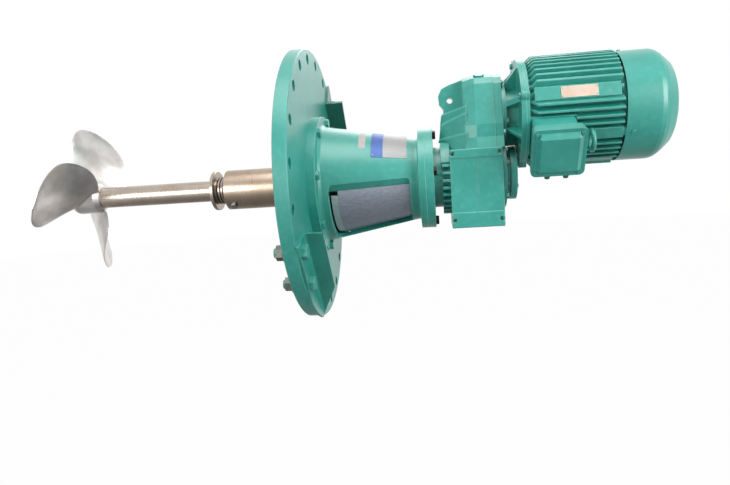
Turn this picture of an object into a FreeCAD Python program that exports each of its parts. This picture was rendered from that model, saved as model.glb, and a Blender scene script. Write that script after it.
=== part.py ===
"""Side-entry tank mixer: propeller, shaft and shut-off sleeve on a tank flange, lantern, gearbox and motor.

Millimetres. +X runs along the mixer shaft from the tank to the motor, +Z is up, and the origin is the
centre of the tank flange's tank-side face, on the shaft axis. The near side of the mixer faces -Y.
An angle round an axis parallel to X is counted from the near side (-Y) towards the top (+Z).
"""
import FreeCAD, Part
import math
import os
from FreeCAD import Vector, Rotation, Placement, Matrix

# Clearances
FIT = 0.02            # radial, between two pieces that are assembled tight
RUN = 0.05            # radial, shaft in a bearing, bush or hollow shaft
SEAT = 0.3            # between faces that seat on each other when something moves
BACKLASH = 0.12       # taken off each gear tooth at the pitch circle

# Tank flange
FLANGE_DIA = 670.0
FLANGE_THICK = 32.0
HOLE_EDGE = 25.0      # from the flange's rim to the centres of its holes
FLANGE_HOLES = 20
FLANGE_HOLE_DIA = 26.0
RAISED_EDGE = 1.5     # chamfer of the flange's rims

# Angle irons on the flange
IRON_ANGLE = -36.0
IRON_WIDTH = 72.0
IRON_STAND = 48.0
IRON_THICK = 6.0
IRON_INSET = 7.0      # from the flange's rim to the outer edge of the bolted leg
IRON_SLANT = 21.0     # the bolted leg's free end is cut this much askew
IRON_SKEW = 96.0      # the standing leg's other end is cut this much askew
IRON_ENDS = (60.0, 204.0)        # lower iron, both ways from the middle of its bolts
UPPER_IRON_ENDS = (88.0, 120.0)   # its long end stops short of the next hole
IRON_BOLT = 20.0

# Mixer shaft
SHAFT_DIA = 54.0
STUB_DIA = 40.0       # drive end, in the gearbox's hollow shaft
STUB_LENGTH = 210.0
SHAFT_REACH = 562.0   # from the flange's tank face to the propeller hub
SHAFT_SHOULDER = 270.0
TAIL_DIA = 36.0       # seat of the propeller hub

# Propeller
PROP_DIA = 414.0
HUB_DIA = 80.0
HUB_LENGTH = 78.0
BLADES = 3
BLADE_ANGLE = 123.5   # of the first blade at rest
BLADE_ROOT = 9.0      # thickness at the hub
BLADE_TIP = 3.0
PROP_NUT_LENGTH = 22.0

# Shut-off sleeve and plug
SLEEVE_DIA = 102.0
SLEEVE_BORE = 84.0
SLEEVE_REACH = 210.0
MOUTH_DEPTH = 30.0
PLUG_DIA = 67.0
PLUG_LENGTH = 20.0
PLUG_DISC_DIA = 102.0
PLUG_DISC_THICK = 9.0
PLUG_GAP = 8.0        # between plug and sleeve when the mixer runs
MOUTH_CLEAR = 1.6     # radial, plug in the sleeve's mouth, so that the rings clear it too
ORING_SECTION = 4.0
BUSH_LENGTH = 40.0
BUSH_SETBACK = 80.0

# Lantern
LANTERN_FLANGE_DIA = 340.0
LANTERN_FLANGE_THICK = 22.0
LANTERN_LENGTH = 274.0
LANTERN_BIG_DIA = 290.0
LANTERN_SMALL_DIA = 201.0
LANTERN_WALL = 12.0
LANTERN_PCD = 314.0
LANTERN_BOLTS = 8
LANTERN_BOLT = 12.0
LANTERN_TURN = 8.0
WINDOW_ANGLE = -40.0
WINDOW_START = 45.0   # from the flange's motor-side face
WINDOW_LENGTH = 191.0
WINDOW_BIG = 177.0    # across the wide end, on the outside
WINDOW_SMALL = 141.0
WINDOW_CORNER = 11.0
GUARD_THICK = 1.5
GUARD_HALF_ANGLE = 47.0

# Shaft seal
SEAL_PLATE_DIA = 156.0
SEAL_PLATE_THICK = 14.0
SEAL_SEAT_DIA = 92.0
SEAL_SEAT_THICK = 10.0
SEAL_ROTOR_DIA = 86.0
SEAL_ROTOR_LENGTH = 44.0

# Gearbox
OUT_FLANGE_DIA = 250.0
SMALL_FLANGE_THICK = 16.0
OUT_FLANGE_THICK = 19.0
OUT_FLANGE_PCD = 215.0
OUT_FLANGE_BOLTS = 4
OUT_FLANGE_BOLT = 12.0
SPIGOT_DIA = 140.0
NECK_DIA = 150.0
NECK_LENGTH = 20.0
NECK_RIBS = 32
NECK_RIB_THICK = 6.0
COLLAR_DIA = 186.0
BOX_START = 364.0     # motor-side end of the output neck
BOX_LENGTH = 123.0
BOX_WIDTH = 186.0
BOX_BOTTOM = 124.0
BOX_TOP = 62.0
PAD_PROUD = 2.0
TOWER_START = 403.0
TOWER_LENGTH = 71.0
TOWER_SLOPE = 27.0    # length of the bevelled front of the tower
TOWER_BEVEL = 13.0
TOWER_DROP = 5.0      # of the tower's crown, over the same length
TOWER_WIDTH = 168.0
TOWER_KNEE = 117.0
TOWER_SHOULDER = 88.0
TOWER_TOP = 240.0
TOWER_TOP_WIDTH = 118.0
BOX_WALL = 9.0
COVER_THICK = 18.0
COVER_FOOT = 10.0
LUG_HOLE = 14.0
LUG_THICK = 24.0

# Gears
MODULE_OUT = 3.0
TEETH_OUT = 44
TEETH_PINION = 16
WIDTH_OUT = 28.0
MODULE_IN = 2.0
TEETH_WHEEL = 34
TEETH_MOTOR = 18
WIDTH_IN = 18.0
PRESSURE_ANGLE = 20.0

# Motor
MOTOR_CLOCK = -31.5   # direction of the motor's own top
CORE_DIA = 224.0
FIN_DIA = 265.0
FIN_THICK = 4.2
FIN_PITCH = 15.5
FRAME_START = 547.0
FRAME_LENGTH = 204.0
FRAME_BORE = 206.0
STACK_LENGTH = 130.0
ROTOR_DIA = 131.0
AIR_GAP = 0.5
COWL_DIA = 256.0
COWL_START = 757.0
COWL_LENGTH = 120.0
COWL_STRAIGHT = 74.0
COWL_END_DIA = 182.0
COWL_WALL = 2.0
FAN_DIA = 205.0
FAN_BLADES = 9
BOX_SIZE_X = 116.5
BOX_SIZE_Y = 116.0
BOX_HEIGHT = 214.0    # from the motor axis to the cover's face
BOX_START_X = 539.8

# Bearings: bore, outside diameter, width
OUT_BEARING = (60.0, 95.0, 18.0)
MID_BEARING = (20.0, 47.0, 14.0)
MOTOR_BEARING = (40.0, 80.0, 18.0)

# Sizes that follow
FLANGE_PCD = FLANGE_DIA - 2 * HOLE_EDGE
IRON_EDGE = FLANGE_DIA / 2 - IRON_INSET
CENTRES_OUT = MODULE_OUT * (TEETH_OUT + TEETH_PINION) / 2
CENTRES_IN = MODULE_IN * (TEETH_WHEEL + TEETH_MOTOR) / 2
MID_Z = CENTRES_OUT
MOTOR_Z = CENTRES_OUT + CENTRES_IN
LANTERN_START = FLANGE_THICK
LANTERN_END = LANTERN_START + LANTERN_LENGTH
OUT_FACE = LANTERN_END + OUT_FLANGE_THICK
BOX_END = BOX_START + BOX_LENGTH
TOWER_END = TOWER_START + TOWER_LENGTH
COVER_END = TOWER_END + COVER_THICK
FOOT_END = BOX_END + COVER_FOOT
TRAVEL = PLUG_GAP + PLUG_LENGTH - SEAT
GEAR_X = BOX_START + 30.0
WHEEL_X = GEAR_X + WIDTH_OUT + 11.0
FRAME_END = FRAME_START + FRAME_LENGTH
COWL_END = COWL_START + COWL_LENGTH
STACK_START = FRAME_START + 43.0
BOX_MID_X = BOX_START_X + BOX_SIZE_X / 2

PARTS = "parts"
os.makedirs(PARTS, exist_ok=True)


def save(name, shape):
    """Write one node; a list becomes a group of separate solids."""
    if isinstance(shape, (list, tuple)):
        shape = Part.makeCompound(list(shape))
    shape.exportStep(os.path.join(PARTS, name + ".step"))
    print(f"{name:28s} {len(shape.Solids):3d} solids {shape.Volume / 1000:10.1f} cm3 valid {shape.isValid()}")


def box(x0, x1, y0, y1, z0, z1):
    return Part.makeBox(x1 - x0, y1 - y0, z1 - z0, Vector(x0, y0, z0))


def rod(x0, x1, dia, y=0.0, z=0.0):
    """Cylinder along X."""
    return Part.makeCylinder(dia / 2, x1 - x0, Vector(x0, y, z), Vector(1, 0, 0))


def tube(x0, x1, outer, inner, y=0.0, z=0.0):
    return rod(x0, x1, outer, y, z).cut(rod(x0 - 1, x1 + 1, inner, y, z))


def turned(points, z=0.0):
    """Solid of revolution about the X axis at height z from (x, radius) points."""
    wire = Part.makePolygon([Vector(x, 0, r) for x, r in points] + [Vector(points[0][0], 0, points[0][1])])
    solid = Part.Face(wire).revolve(Vector(0, 0, 0), Vector(1, 0, 0), 360)
    solid.translate(Vector(0, 0, z))
    return solid


def turn(shape, angle, z=0.0):
    """Copy of a shape turned about the X axis at height z; a positive angle takes the near side upwards."""
    new = shape.copy()
    new.rotate(Vector(0, 0, z), Vector(1, 0, 0), -angle)
    return new


def motor_frame(shape):
    """A shape drawn with the motor's own top at +Z, turned to the motor's clock position."""
    return turn(shape, MOTOR_CLOCK - 90.0, MOTOR_Z)


def ring_of(shape, count, start=0.0, z=0.0):
    return [turn(shape, start + 360.0 * k / count, z) for k in range(count)]


def fuse_all(shapes):
    first, rest = shapes[0], shapes[1:]
    return first.multiFuse(rest).removeSplitter() if rest else first


def prism(points, x0, x1):
    """Solid between two X planes from (y, z) points."""
    wire = Part.makePolygon([Vector(x0, y, z) for y, z in points] + [Vector(x0, *points[0])])
    return Part.Face(wire).extrude(Vector(x1 - x0, 0, 0))


def hexagon(x0, x1, across, y=0.0, z=0.0):
    radius = across / math.sqrt(3)
    turns = [math.radians(60 * k) for k in range(6)]
    points = [(y + radius * math.cos(a), z + radius * math.sin(a)) for a in turns]
    return prism(points, x0, x1)


def bolt(dia, length, head_side=1):
    """Hexagon-head bolt on the X axis: the head sits on x = 0 towards head_side, its shank points back."""
    across = 1.5 * dia + (1.0 if dia < 14.0 else 0.0)
    height = round(dia * 0.64, 1)
    head = hexagon(0, height, across)
    crown = Part.makeCone(across * 0.5 + height, across * 0.5, height, Vector(0, 0, 0), Vector(1, 0, 0))
    head = head.common(crown)
    shank = Part.makeCylinder(dia / 2, length, Vector(0, 0, 0), Vector(-1, 0, 0))
    solid = head.fuse(shank)
    if head_side < 0:
        solid.rotate(Vector(0, 0, 0), Vector(0, 0, 1), 180)
    return solid


def at_radius(shape, x, radius, z=0.0):
    """Move a shape drawn on the X axis to the near side at a radius."""
    new = shape.copy()
    new.translate(Vector(x, -radius, z))
    return new


def radial(shape, x, radius, angle, z=0.0):
    """A shape drawn along X, stood on a cylinder of that radius with its +X away from the axis."""
    new = shape.copy()
    new.rotate(Vector(0, 0, 0), Vector(0, 0, 1), -90)
    new.translate(Vector(x, -radius, z))
    return turn(new, angle, z)


def radial_bolt(dia, length, x, radius, angle, z=0.0):
    """Bolt whose head sits on a cylinder of the given radius and whose shank points at the axis."""
    return radial(bolt(dia, length), x, radius, angle, z)


def involute(base, radius):
    """Angle of the involute at a radius."""
    ratio = max(radius / base, 1.0)
    roll = math.sqrt(ratio * ratio - 1.0)
    return roll - math.atan(roll)


def gear(module, teeth, x0, x1, bore, z, first):
    """Involute spur gear about the X axis at height z, with a tooth centred at the angle first."""
    pitch = module * teeth / 2
    base = pitch * math.cos(math.radians(PRESSURE_ANGLE))
    tip = pitch + module
    root = pitch - 1.25 * module
    half = math.pi / (2 * teeth) - BACKLASH / (2 * pitch) + involute(base, pitch)
    start = max(base, root)
    steps = 5
    edges = []
    pitch_angle = 2 * math.pi / teeth

    def spot(radius, angle):
        turned_angle = math.radians(first) + angle
        return Vector(x0, -radius * math.cos(turned_angle), radius * math.sin(turned_angle))

    for k in range(teeth):
        middle = k * pitch_angle
        radii = [start + (tip - start) * i / (steps - 1) for i in range(steps)]
        rise = [spot(r, middle - half + involute(base, r)) for r in radii]
        fall = [spot(r, middle + half - involute(base, r)) for r in reversed(radii)]
        flank_up = Part.BSplineCurve()
        flank_up.interpolate(rise)
        flank_down = Part.BSplineCurve()
        flank_down.interpolate(fall)
        foot = half - involute(base, start)
        next_root = (k + 1) * pitch_angle - foot
        foot_in = spot(root, middle - foot)
        foot_out = spot(root, middle + foot)
        if start > root:
            edges.append(Part.LineSegment(foot_in, rise[0]).toShape())
        edges.append(flank_up.toShape())
        edges.append(Part.Arc(rise[-1], spot(tip, middle), fall[0]).toShape())
        edges.append(flank_down.toShape())
        if start > root:
            edges.append(Part.LineSegment(fall[-1], foot_out).toShape())
        bottom = spot(root, (middle + foot + next_root) / 2)
        edges.append(Part.Arc(foot_out, bottom, spot(root, next_root)).toShape())
    wire = Part.Wire(Part.__sortEdges__(edges))
    solid = Part.Face(wire).extrude(Vector(x1 - x0, 0, 0))
    if bore:
        solid = solid.cut(rod(x0 - 1, x1 + 1, bore))
    solid.translate(Vector(0, 0, z))
    return solid


def bearing(size, x, z, balls):
    """Deep-groove ball bearing: outer ring, inner ring and balls, as three shapes."""
    bore, outside, width = size
    middle = (bore + outside) / 4
    ball = (outside - bore) / 2 * 0.27
    track = Part.makeTorus(middle, ball, Vector(x + width / 2, 0, z), Vector(1, 0, 0))
    outer = tube(x, x + width, outside - 2 * FIT, 2 * (middle + ball * 0.55), z=z).cut(track)
    inner = tube(x, x + width, 2 * (middle - ball * 0.55), bore + 2 * FIT, z=z).cut(track)
    one = Part.makeSphere(ball - RUN, Vector(x + width / 2, -middle, z))
    return outer, inner, ring_of(one, balls, 0.0, z)


# Shut-off sleeve: a stainless tube that stands in the tank, with a thick mouth that takes the plug
SLEEVE_END = -SLEEVE_REACH
MOUTH_BORE = PLUG_DIA + 2 * MOUTH_CLEAR
sleeve = rod(SLEEVE_END, FLANGE_THICK, SLEEVE_DIA)
sleeve = sleeve.cut(rod(SLEEVE_END - 1, SLEEVE_END + MOUTH_DEPTH + 1, MOUTH_BORE))
sleeve = sleeve.cut(rod(SLEEVE_END + MOUTH_DEPTH, FLANGE_THICK + 1, SLEEVE_BORE))
SCREW_DIA = 10.0
SCREW_X = SLEEVE_END + 21.0
SCREW_ANGLE = -49.0
SCREW_DEPTH = 12.0
sleeve_hole = Part.makeCylinder(
    SCREW_DIA / 2 + FIT, SCREW_DEPTH + 2, Vector(SCREW_X, -SLEEVE_DIA / 2 - 1, 0), Vector(0, 1, 0)
)
sleeve = sleeve.cut(turn(sleeve_hole, SCREW_ANGLE))
save("shutoff_sleeve", sleeve)
save("sleeve_screw", radial_bolt(SCREW_DIA, SCREW_DEPTH, SCREW_X, SLEEVE_DIA / 2 + FIT, SCREW_ANGLE))
BUSH_END = -BUSH_SETBACK
save("sleeve_bush", tube(BUSH_END - BUSH_LENGTH, BUSH_END, SLEEVE_BORE - 2 * FIT, SHAFT_DIA + 2 * RUN))

# Tank flange: a thick disc with its bolt circle, tapped holes for the lantern and the sleeve's bore
HOLE_STEP = 360.0 / FLANGE_HOLES
HOLE_FIRST = HOLE_STEP / 2
LANTERN_BOLT_DEPTH = 20.0
flange = rod(0, FLANGE_THICK, FLANGE_DIA)
flange = flange.makeChamfer(RAISED_EDGE, [e for e in flange.Edges if isinstance(e.Curve, Part.Circle)])
flange_hole = at_radius(rod(-1, FLANGE_THICK + 1, FLANGE_HOLE_DIA), 0, FLANGE_PCD / 2)
tap = at_radius(rod(-LANTERN_BOLT_DEPTH - 1, 1, LANTERN_BOLT + 2 * FIT), FLANGE_THICK, LANTERN_PCD / 2)
SEAL_PCD = 128.0
SEAL_BOLT = 10.0
SEAL_TURN = 45.0
seal_tap = at_radius(rod(-15, 1, SEAL_BOLT + 2 * FIT), FLANGE_THICK, SEAL_PCD / 2)
cuts = ring_of(flange_hole, FLANGE_HOLES, HOLE_FIRST)
cuts += ring_of(tap, LANTERN_BOLTS, LANTERN_TURN)
cuts += ring_of(seal_tap, 4, SEAL_TURN)
cuts.append(rod(-1, FLANGE_THICK + 1, SLEEVE_DIA + 2 * FIT))
flange = flange.cut(cuts)
save("mounting_flange", flange)

# Angle irons: each bolted through two neighbouring flange holes, one leg standing towards the motor
INNER_EDGE = IRON_EDGE - IRON_WIDTH
HALF_STEP = HOLE_STEP / 2
IRON_FACE = FLANGE_THICK + IRON_THICK
IRON_TOP = FLANGE_THICK + IRON_STAND
IRON_OVERHANG = 6.0
iron_hole = at_radius(rod(FLANGE_THICK - 1, IRON_FACE + 1, IRON_BOLT + 1.0), 0, FLANGE_PCD / 2)


def angle_iron(head, tail):
    """Iron on the near side; its free end points up by head, its long end down by tail."""
    high = head + IRON_SLANT
    long_leg = high + tail
    profile = box(FLANGE_THICK, IRON_FACE, -IRON_EDGE, -INNER_EDGE, -tail, high)
    profile = profile.fuse(box(FLANGE_THICK, IRON_TOP, -INNER_EDGE - IRON_THICK, -INNER_EDGE, -tail, high))
    profile = profile.removeSplitter()
    inside = [
        e for e in profile.Edges
        if abs(e.Length - long_leg) < 0.01
        and abs(e.CenterOfMass.x - IRON_FACE) < 0.01
        and abs(e.CenterOfMass.y + INNER_EDGE + IRON_THICK) < 0.01
    ]
    profile = profile.makeFillet(5.0, inside)
    plan = prism([
        (-INNER_EDGE, head), (-IRON_EDGE, high), (-IRON_EDGE, -tail), (-INNER_EDGE, -tail),
    ], FLANGE_THICK, IRON_TOP)
    side = Part.Face(Part.makePolygon([
        Vector(FLANGE_THICK, 0, high), Vector(IRON_TOP, 0, high), Vector(IRON_TOP, 0, IRON_SKEW - tail),
        Vector(IRON_FACE, 0, -tail), Vector(FLANGE_THICK, 0, -tail), Vector(FLANGE_THICK, 0, high),
    ])).extrude(Vector(0, -IRON_EDGE, 0))
    reach = rod(FLANGE_THICK, IRON_TOP, FLANGE_DIA + 2 * IRON_OVERHANG)
    iron = profile.common(plan).common(side).common(reach)
    return iron.cut([turn(iron_hole, HALF_STEP), turn(iron_hole, -HALF_STEP)])


save("lower_angle_iron", turn(angle_iron(*IRON_ENDS), IRON_ANGLE))
upper_iron = angle_iron(*UPPER_IRON_ENDS).mirror(Vector(0, 0, 0), Vector(0, 0, 1))
save("upper_angle_iron", turn(upper_iron, IRON_ANGLE + 180))
IRON_BOLT_LENGTH = 62.0
NUT_HEIGHT = 16.0
WASHER = 3.0
iron_bolt = at_radius(bolt(IRON_BOLT, IRON_BOLT_LENGTH), IRON_FACE, FLANGE_PCD / 2)
iron_nut = hexagon(-WASHER - NUT_HEIGHT, -WASHER, 30.0).cut(rod(-50, 5, IRON_BOLT + 2 * FIT))
iron_washer = tube(-WASHER, 0, 40.0, IRON_BOLT + 2 * FIT)
places = [IRON_ANGLE + half + side for half in (0, 180) for side in (-HALF_STEP, HALF_STEP)]
save("angle_iron_bolts", [turn(iron_bolt, a) for a in places])
nut_set = at_radius(iron_nut.fuse(iron_washer).removeSplitter(), 0, FLANGE_PCD / 2)
save("angle_iron_nuts", [turn(nut_set, a) for a in places])

# Lantern: the cast cone between tank flange and gearbox, open at two windows
CONE_START = LANTERN_START + LANTERN_FLANGE_THICK
CONE_END = LANTERN_END - SMALL_FLANGE_THICK
BIG = LANTERN_BIG_DIA / 2
SMALL = LANTERN_SMALL_DIA / 2
TAPER = (BIG - SMALL) / (CONE_END - CONE_START)


def cone_radius(x):
    return BIG - TAPER * (x - CONE_START)


ROOT = 5.0
lantern = turned([
    (LANTERN_START, 0), (LANTERN_START, LANTERN_FLANGE_DIA / 2), (CONE_START, LANTERN_FLANGE_DIA / 2),
    (CONE_START, BIG + ROOT), (CONE_START + ROOT * 0.4, BIG + ROOT * 0.35),
    (CONE_START + ROOT * 1.6, cone_radius(CONE_START + ROOT * 1.6)),
    (CONE_END - ROOT * 1.6, cone_radius(CONE_END - ROOT * 1.6)),
    (CONE_END - ROOT * 0.5, SMALL + ROOT * 0.3), (CONE_END, SMALL + ROOT),
    (CONE_END, OUT_FLANGE_DIA / 2), (LANTERN_END, OUT_FLANGE_DIA / 2), (LANTERN_END, 0),
])
cavity = turned([
    (LANTERN_START - 1, 0), (LANTERN_START - 1, cone_radius(LANTERN_START - 1) - LANTERN_WALL),
    (CONE_END, SMALL - LANTERN_WALL), (CONE_END, 0),
])
lantern = lantern.cut(cavity)
lantern = lantern.cut(rod(CONE_END - 1, LANTERN_END + 1, SPIGOT_DIA + 2 * FIT))
WINDOW_X = LANTERN_START + WINDOW_START
WINDOW_END = WINDOW_X + WINDOW_LENGTH


def window_block(low_big, high_big, low_small, high_small):
    """Tool for a window on the near side: a tapered outline with rounded corners, cut towards the axis."""
    near = -BIG - 20
    corners = [
        Vector(WINDOW_X, near, low_big), Vector(WINDOW_X, near, high_big),
        Vector(WINDOW_END, near, high_small), Vector(WINDOW_END, near, low_small),
    ]
    block = Part.Face(Part.makePolygon(corners + corners[:1])).extrude(Vector(0, BIG, 0))
    upright = [e for e in block.Edges if abs(e.Length - BIG) < 0.01]
    return block.makeFillet(WINDOW_CORNER, upright)


def flat_depth(x, half):
    """How far from the axis the wall's outside is, at the given distance from the window's middle."""
    return math.sqrt(cone_radius(x) ** 2 - half ** 2)


def inner_half(x, depth):
    """Where a flat at that depth runs out of the wall on its inside."""
    return math.sqrt((cone_radius(x) - LANTERN_WALL) ** 2 - depth ** 2)


half_big = WINDOW_BIG / 2
half_small = WINDOW_SMALL / 2
depth_big = flat_depth(WINDOW_X, half_big)
depth_small = flat_depth(WINDOW_END, half_small)
top_big = inner_half(WINDOW_X, depth_big)
top_small = inner_half(WINDOW_END, depth_small)
opening = window_block(-half_big, top_big, -half_small, top_small)
above = Part.Face(Part.makePolygon([
    Vector(WINDOW_X, -depth_big, 0), Vector(WINDOW_X, -BIG - 20, 0), Vector(WINDOW_END, -BIG - 20, 0),
    Vector(WINDOW_END, -depth_small, 0), Vector(WINDOW_X, -depth_big, 0),
])).extrude(Vector(0, 0, BIG))
upper_flat = window_block(-half_big, half_big, -half_small, half_small).common(above)
window = opening.fuse(upper_flat)
lantern = lantern.cut([turn(window, WINDOW_ANGLE), turn(window, WINDOW_ANGLE + 180)])
through = at_radius(rod(LANTERN_START - 1, CONE_START + 1, LANTERN_BOLT + 1.5), 0, LANTERN_PCD / 2)
small_tap = rod(LANTERN_END - 13, LANTERN_END + 1, OUT_FLANGE_BOLT + 2 * FIT)
small_tap = at_radius(small_tap, 0, OUT_FLANGE_PCD / 2)
SPOT_DIA = 2 * LANTERN_BOLT
spot_face = at_radius(rod(CONE_START, CONE_START + 16, SPOT_DIA), 0, LANTERN_PCD / 2)
lantern = lantern.cut(ring_of(through.fuse(spot_face), LANTERN_BOLTS, LANTERN_TURN))
lantern = lantern.cut(ring_of(small_tap, OUT_FLANGE_BOLTS, LANTERN_TURN))

# Guard sheets: rolled stainless sheet behind each window, held to the inside of the lantern wall by rivets;
# each stops short of the flange end, where leakage can drain
GUARD_START = WINDOW_X + 20.0
GUARD_END = WINDOW_END + 11.0
skin = FIT + LANTERN_WALL


def cone_shell(x0, x1, depth, thick):
    outer = turned([
        (x0, 0), (x0, cone_radius(x0) - depth), (x1, cone_radius(x1) - depth), (x1, 0),
    ])
    inside = depth + thick
    inner = turned([
        (x0 - 1, 0), (x0 - 1, cone_radius(x0 - 1) - inside),
        (x1 + 1, cone_radius(x1 + 1) - inside), (x1 + 1, 0),
    ])
    return outer.cut(inner)


spread = math.tan(math.radians(GUARD_HALF_ANGLE)) * 2 * BIG
wedge = prism([(0, 0), (-2 * BIG, spread), (-2 * BIG, -spread)], GUARD_START - 5, GUARD_END + 5)
guard = cone_shell(GUARD_START, GUARD_END, skin, GUARD_THICK).common(wedge)
RIVET = 5.0
RIVET_HEAD = 9.0
RIVET_DEPTH = 7.0
rivet_angle = GUARD_HALF_ANGLE - 3.0
rivets = []
guard_cuts = []
wall_cuts = []
for rivet_x in (GUARD_START + 6.0, GUARD_END - 5.0):
    face = cone_radius(rivet_x) - skin - GUARD_THICK - RIVET_HEAD / 2 * TAPER - 0.2
    for side in (-rivet_angle, rivet_angle):
        head = Part.makeCylinder(RIVET_HEAD / 2, 2.5, Vector(rivet_x, -face, 0), Vector(0, 1, 0))
        stem = Part.makeCylinder(RIVET / 2, RIVET_DEPTH, Vector(rivet_x, -face, 0), Vector(0, -1, 0))
        rivets.append(turn(head.fuse(stem), side))
        hole = Part.makeCylinder(RIVET / 2 + FIT, RIVET_DEPTH + 0.1, Vector(0, 0, 0), Vector(0, -1, 0))
        for start, cuts in ((2 - face, guard_cuts), (-face, wall_cuts)):
            placed = hole.copy()
            placed.translate(Vector(rivet_x, start, 0))
            cuts.append(turn(placed, side))
guard = guard.cut(guard_cuts)
both = [WINDOW_ANGLE, WINDOW_ANGLE + 180]
lantern = lantern.cut([turn(c, a) for c in wall_cuts for a in both])
save("lantern", lantern)
save("guard_sheets", [turn(guard, a) for a in both])
save("guard_rivets", [turn(r, a) for r in rivets for a in both])
lantern_bolt = bolt(LANTERN_BOLT, LANTERN_FLANGE_THICK + LANTERN_BOLT_DEPTH)
lantern_bolt = at_radius(lantern_bolt, CONE_START, LANTERN_PCD / 2)
save("lantern_bolts", ring_of(lantern_bolt, LANTERN_BOLTS, LANTERN_TURN))

# Lantern nameplate: a thin curved plate on the near wall above the window
PLATE_X0 = CONE_START + 125.0
PLATE_X1 = PLATE_X0 + 84.0
PLATE_ANGLE = 53.0
PLATE_HALF = 25.0
PLATE_THICK = 0.8
PLATE_GAP = 0.1
plate_spread = math.tan(math.radians(PLATE_HALF)) * 2 * BIG
plate_wedge = prism([(0, 0), (-2 * BIG, plate_spread), (-2 * BIG, -plate_spread)], PLATE_X0, PLATE_X1)
nameplate = cone_shell(PLATE_X0, PLATE_X1, -PLATE_THICK - PLATE_GAP, PLATE_THICK).common(plate_wedge)
save("lantern_nameplate", turn(nameplate, PLATE_ANGLE))

# Mechanical seal: plate and seat stand still, the rotor unit turns with the shaft
SEAL_X = FLANGE_THICK + SEAL_PLATE_THICK
SEAT_IN = SHAFT_DIA + 3.0
seal_plate = tube(FLANGE_THICK, SEAL_X, SEAL_PLATE_DIA, SHAFT_DIA + 8.0)
SEAT_DEPTH = SEAL_SEAT_THICK - 2.0
seal_plate = seal_plate.cut(rod(SEAL_X - SEAT_DEPTH, SEAL_X + 1, SEAL_SEAT_DIA + 2 * FIT))
seal_through = at_radius(rod(FLANGE_THICK - 1, SEAL_X + 1, SEAL_BOLT + 1.0), 0, SEAL_PCD / 2)
seal_plate = seal_plate.cut(ring_of(seal_through, 4, SEAL_TURN))
save("seal_housing", seal_plate)
SEAT_END = SEAL_X - SEAT_DEPTH + SEAL_SEAT_THICK
save("seal_seat", tube(SEAL_X - SEAT_DEPTH, SEAT_END, SEAL_SEAT_DIA, SEAT_IN))
seal_bolt = at_radius(bolt(SEAL_BOLT, SEAL_PLATE_THICK + 13.0), SEAL_X, SEAL_PCD / 2)
save("seal_housing_screws", ring_of(seal_bolt, 4, SEAL_TURN))
ROTOR_X = SEAT_END + SEAT
rotor_unit = turned([
    (ROTOR_X, SHAFT_DIA / 2 + FIT), (ROTOR_X, SEAL_ROTOR_DIA / 2 - 5), (ROTOR_X + 12, SEAL_ROTOR_DIA / 2 - 5),
    (ROTOR_X + 12, SEAL_ROTOR_DIA / 2 - 9), (ROTOR_X + 16, SEAL_ROTOR_DIA / 2 - 9),
    (ROTOR_X + 16, SEAL_ROTOR_DIA / 2),
    (ROTOR_X + SEAL_ROTOR_LENGTH, SEAL_ROTOR_DIA / 2), (ROTOR_X + SEAL_ROTOR_LENGTH, SHAFT_DIA / 2 + FIT),
])
save("seal_rotor", rotor_unit)

# Output flange of the gearbox: bolted to the lantern, carries the front output bearing and its oil seal
SEAL_RING = 85.0
HOLLOW_DIA = OUT_BEARING[0]
COLLAR_X = OUT_FACE + NECK_LENGTH
BEARING_X = LANTERN_END + 20.0
SPIGOT = 6.0
out_flange = turned([
    (LANTERN_END - SPIGOT, 0), (LANTERN_END - SPIGOT, SPIGOT_DIA / 2), (LANTERN_END, SPIGOT_DIA / 2),
    (LANTERN_END, OUT_FLANGE_DIA / 2), (OUT_FACE, OUT_FLANGE_DIA / 2), (OUT_FACE, NECK_DIA / 2),
    (BOX_START, NECK_DIA / 2), (BOX_START, 0),
])
rib_half = NECK_RIB_THICK / 2
rib = box(COLLAR_X, BOX_START, -COLLAR_DIA / 2 + 0.5, -NECK_DIA / 2 + 2, -rib_half, rib_half)
HALF_ROUND_DIA = 70.0
HALF_ROUND_ANGLE = 43.0
half_round = at_radius(rod(COLLAR_X - 2, BOX_START, HALF_ROUND_DIA), 0, COLLAR_DIA / 2 - 16.0)
half_round = half_round.common(rod(COLLAR_X - 2, BOX_START, COLLAR_DIA))
half_rounds = [turn(half_round, a) for a in (HALF_ROUND_ANGLE, 180.0 - HALF_ROUND_ANGLE)]
ribs = ring_of(rib, NECK_RIBS, 360.0 / NECK_RIBS / 2)
out_flange = fuse_all([out_flange] + ribs + half_rounds)
SEAL_RING_X = LANTERN_END + 4.0
SEAL_RING_WIDTH = 10.0
out_flange = out_flange.cut([
    rod(LANTERN_END - SPIGOT - 1, SEAL_RING_X + SEAL_RING_WIDTH, SEAL_RING + 2 * FIT),
    rod(SEAL_RING_X, BEARING_X + 1, HOLLOW_DIA + 12.0),
    rod(BEARING_X, BOX_START + 1, OUT_BEARING[1]),
])
flange_through = at_radius(rod(LANTERN_END - 1, OUT_FACE + 1, OUT_FLANGE_BOLT + 1.5), 0, OUT_FLANGE_PCD / 2)
out_flange = out_flange.cut(ring_of(flange_through, OUT_FLANGE_BOLTS, LANTERN_TURN))
save("output_flange", out_flange)
out_bolt = at_radius(bolt(OUT_FLANGE_BOLT, OUT_FLANGE_THICK + 12.0), OUT_FACE, OUT_FLANGE_PCD / 2)
save("output_flange_bolts", ring_of(out_bolt, OUT_FLANGE_BOLTS, LANTERN_TURN))

# Gearbox housing: lower box round the output gear, tapered tower, bearing block and lug in front
HALF = BOX_WIDTH / 2
CHAMFER = 8.0
TOWER_HALF = TOWER_WIDTH / 2
TOP_HALF = TOWER_TOP_WIDTH / 2
CROWN = 26.0


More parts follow.
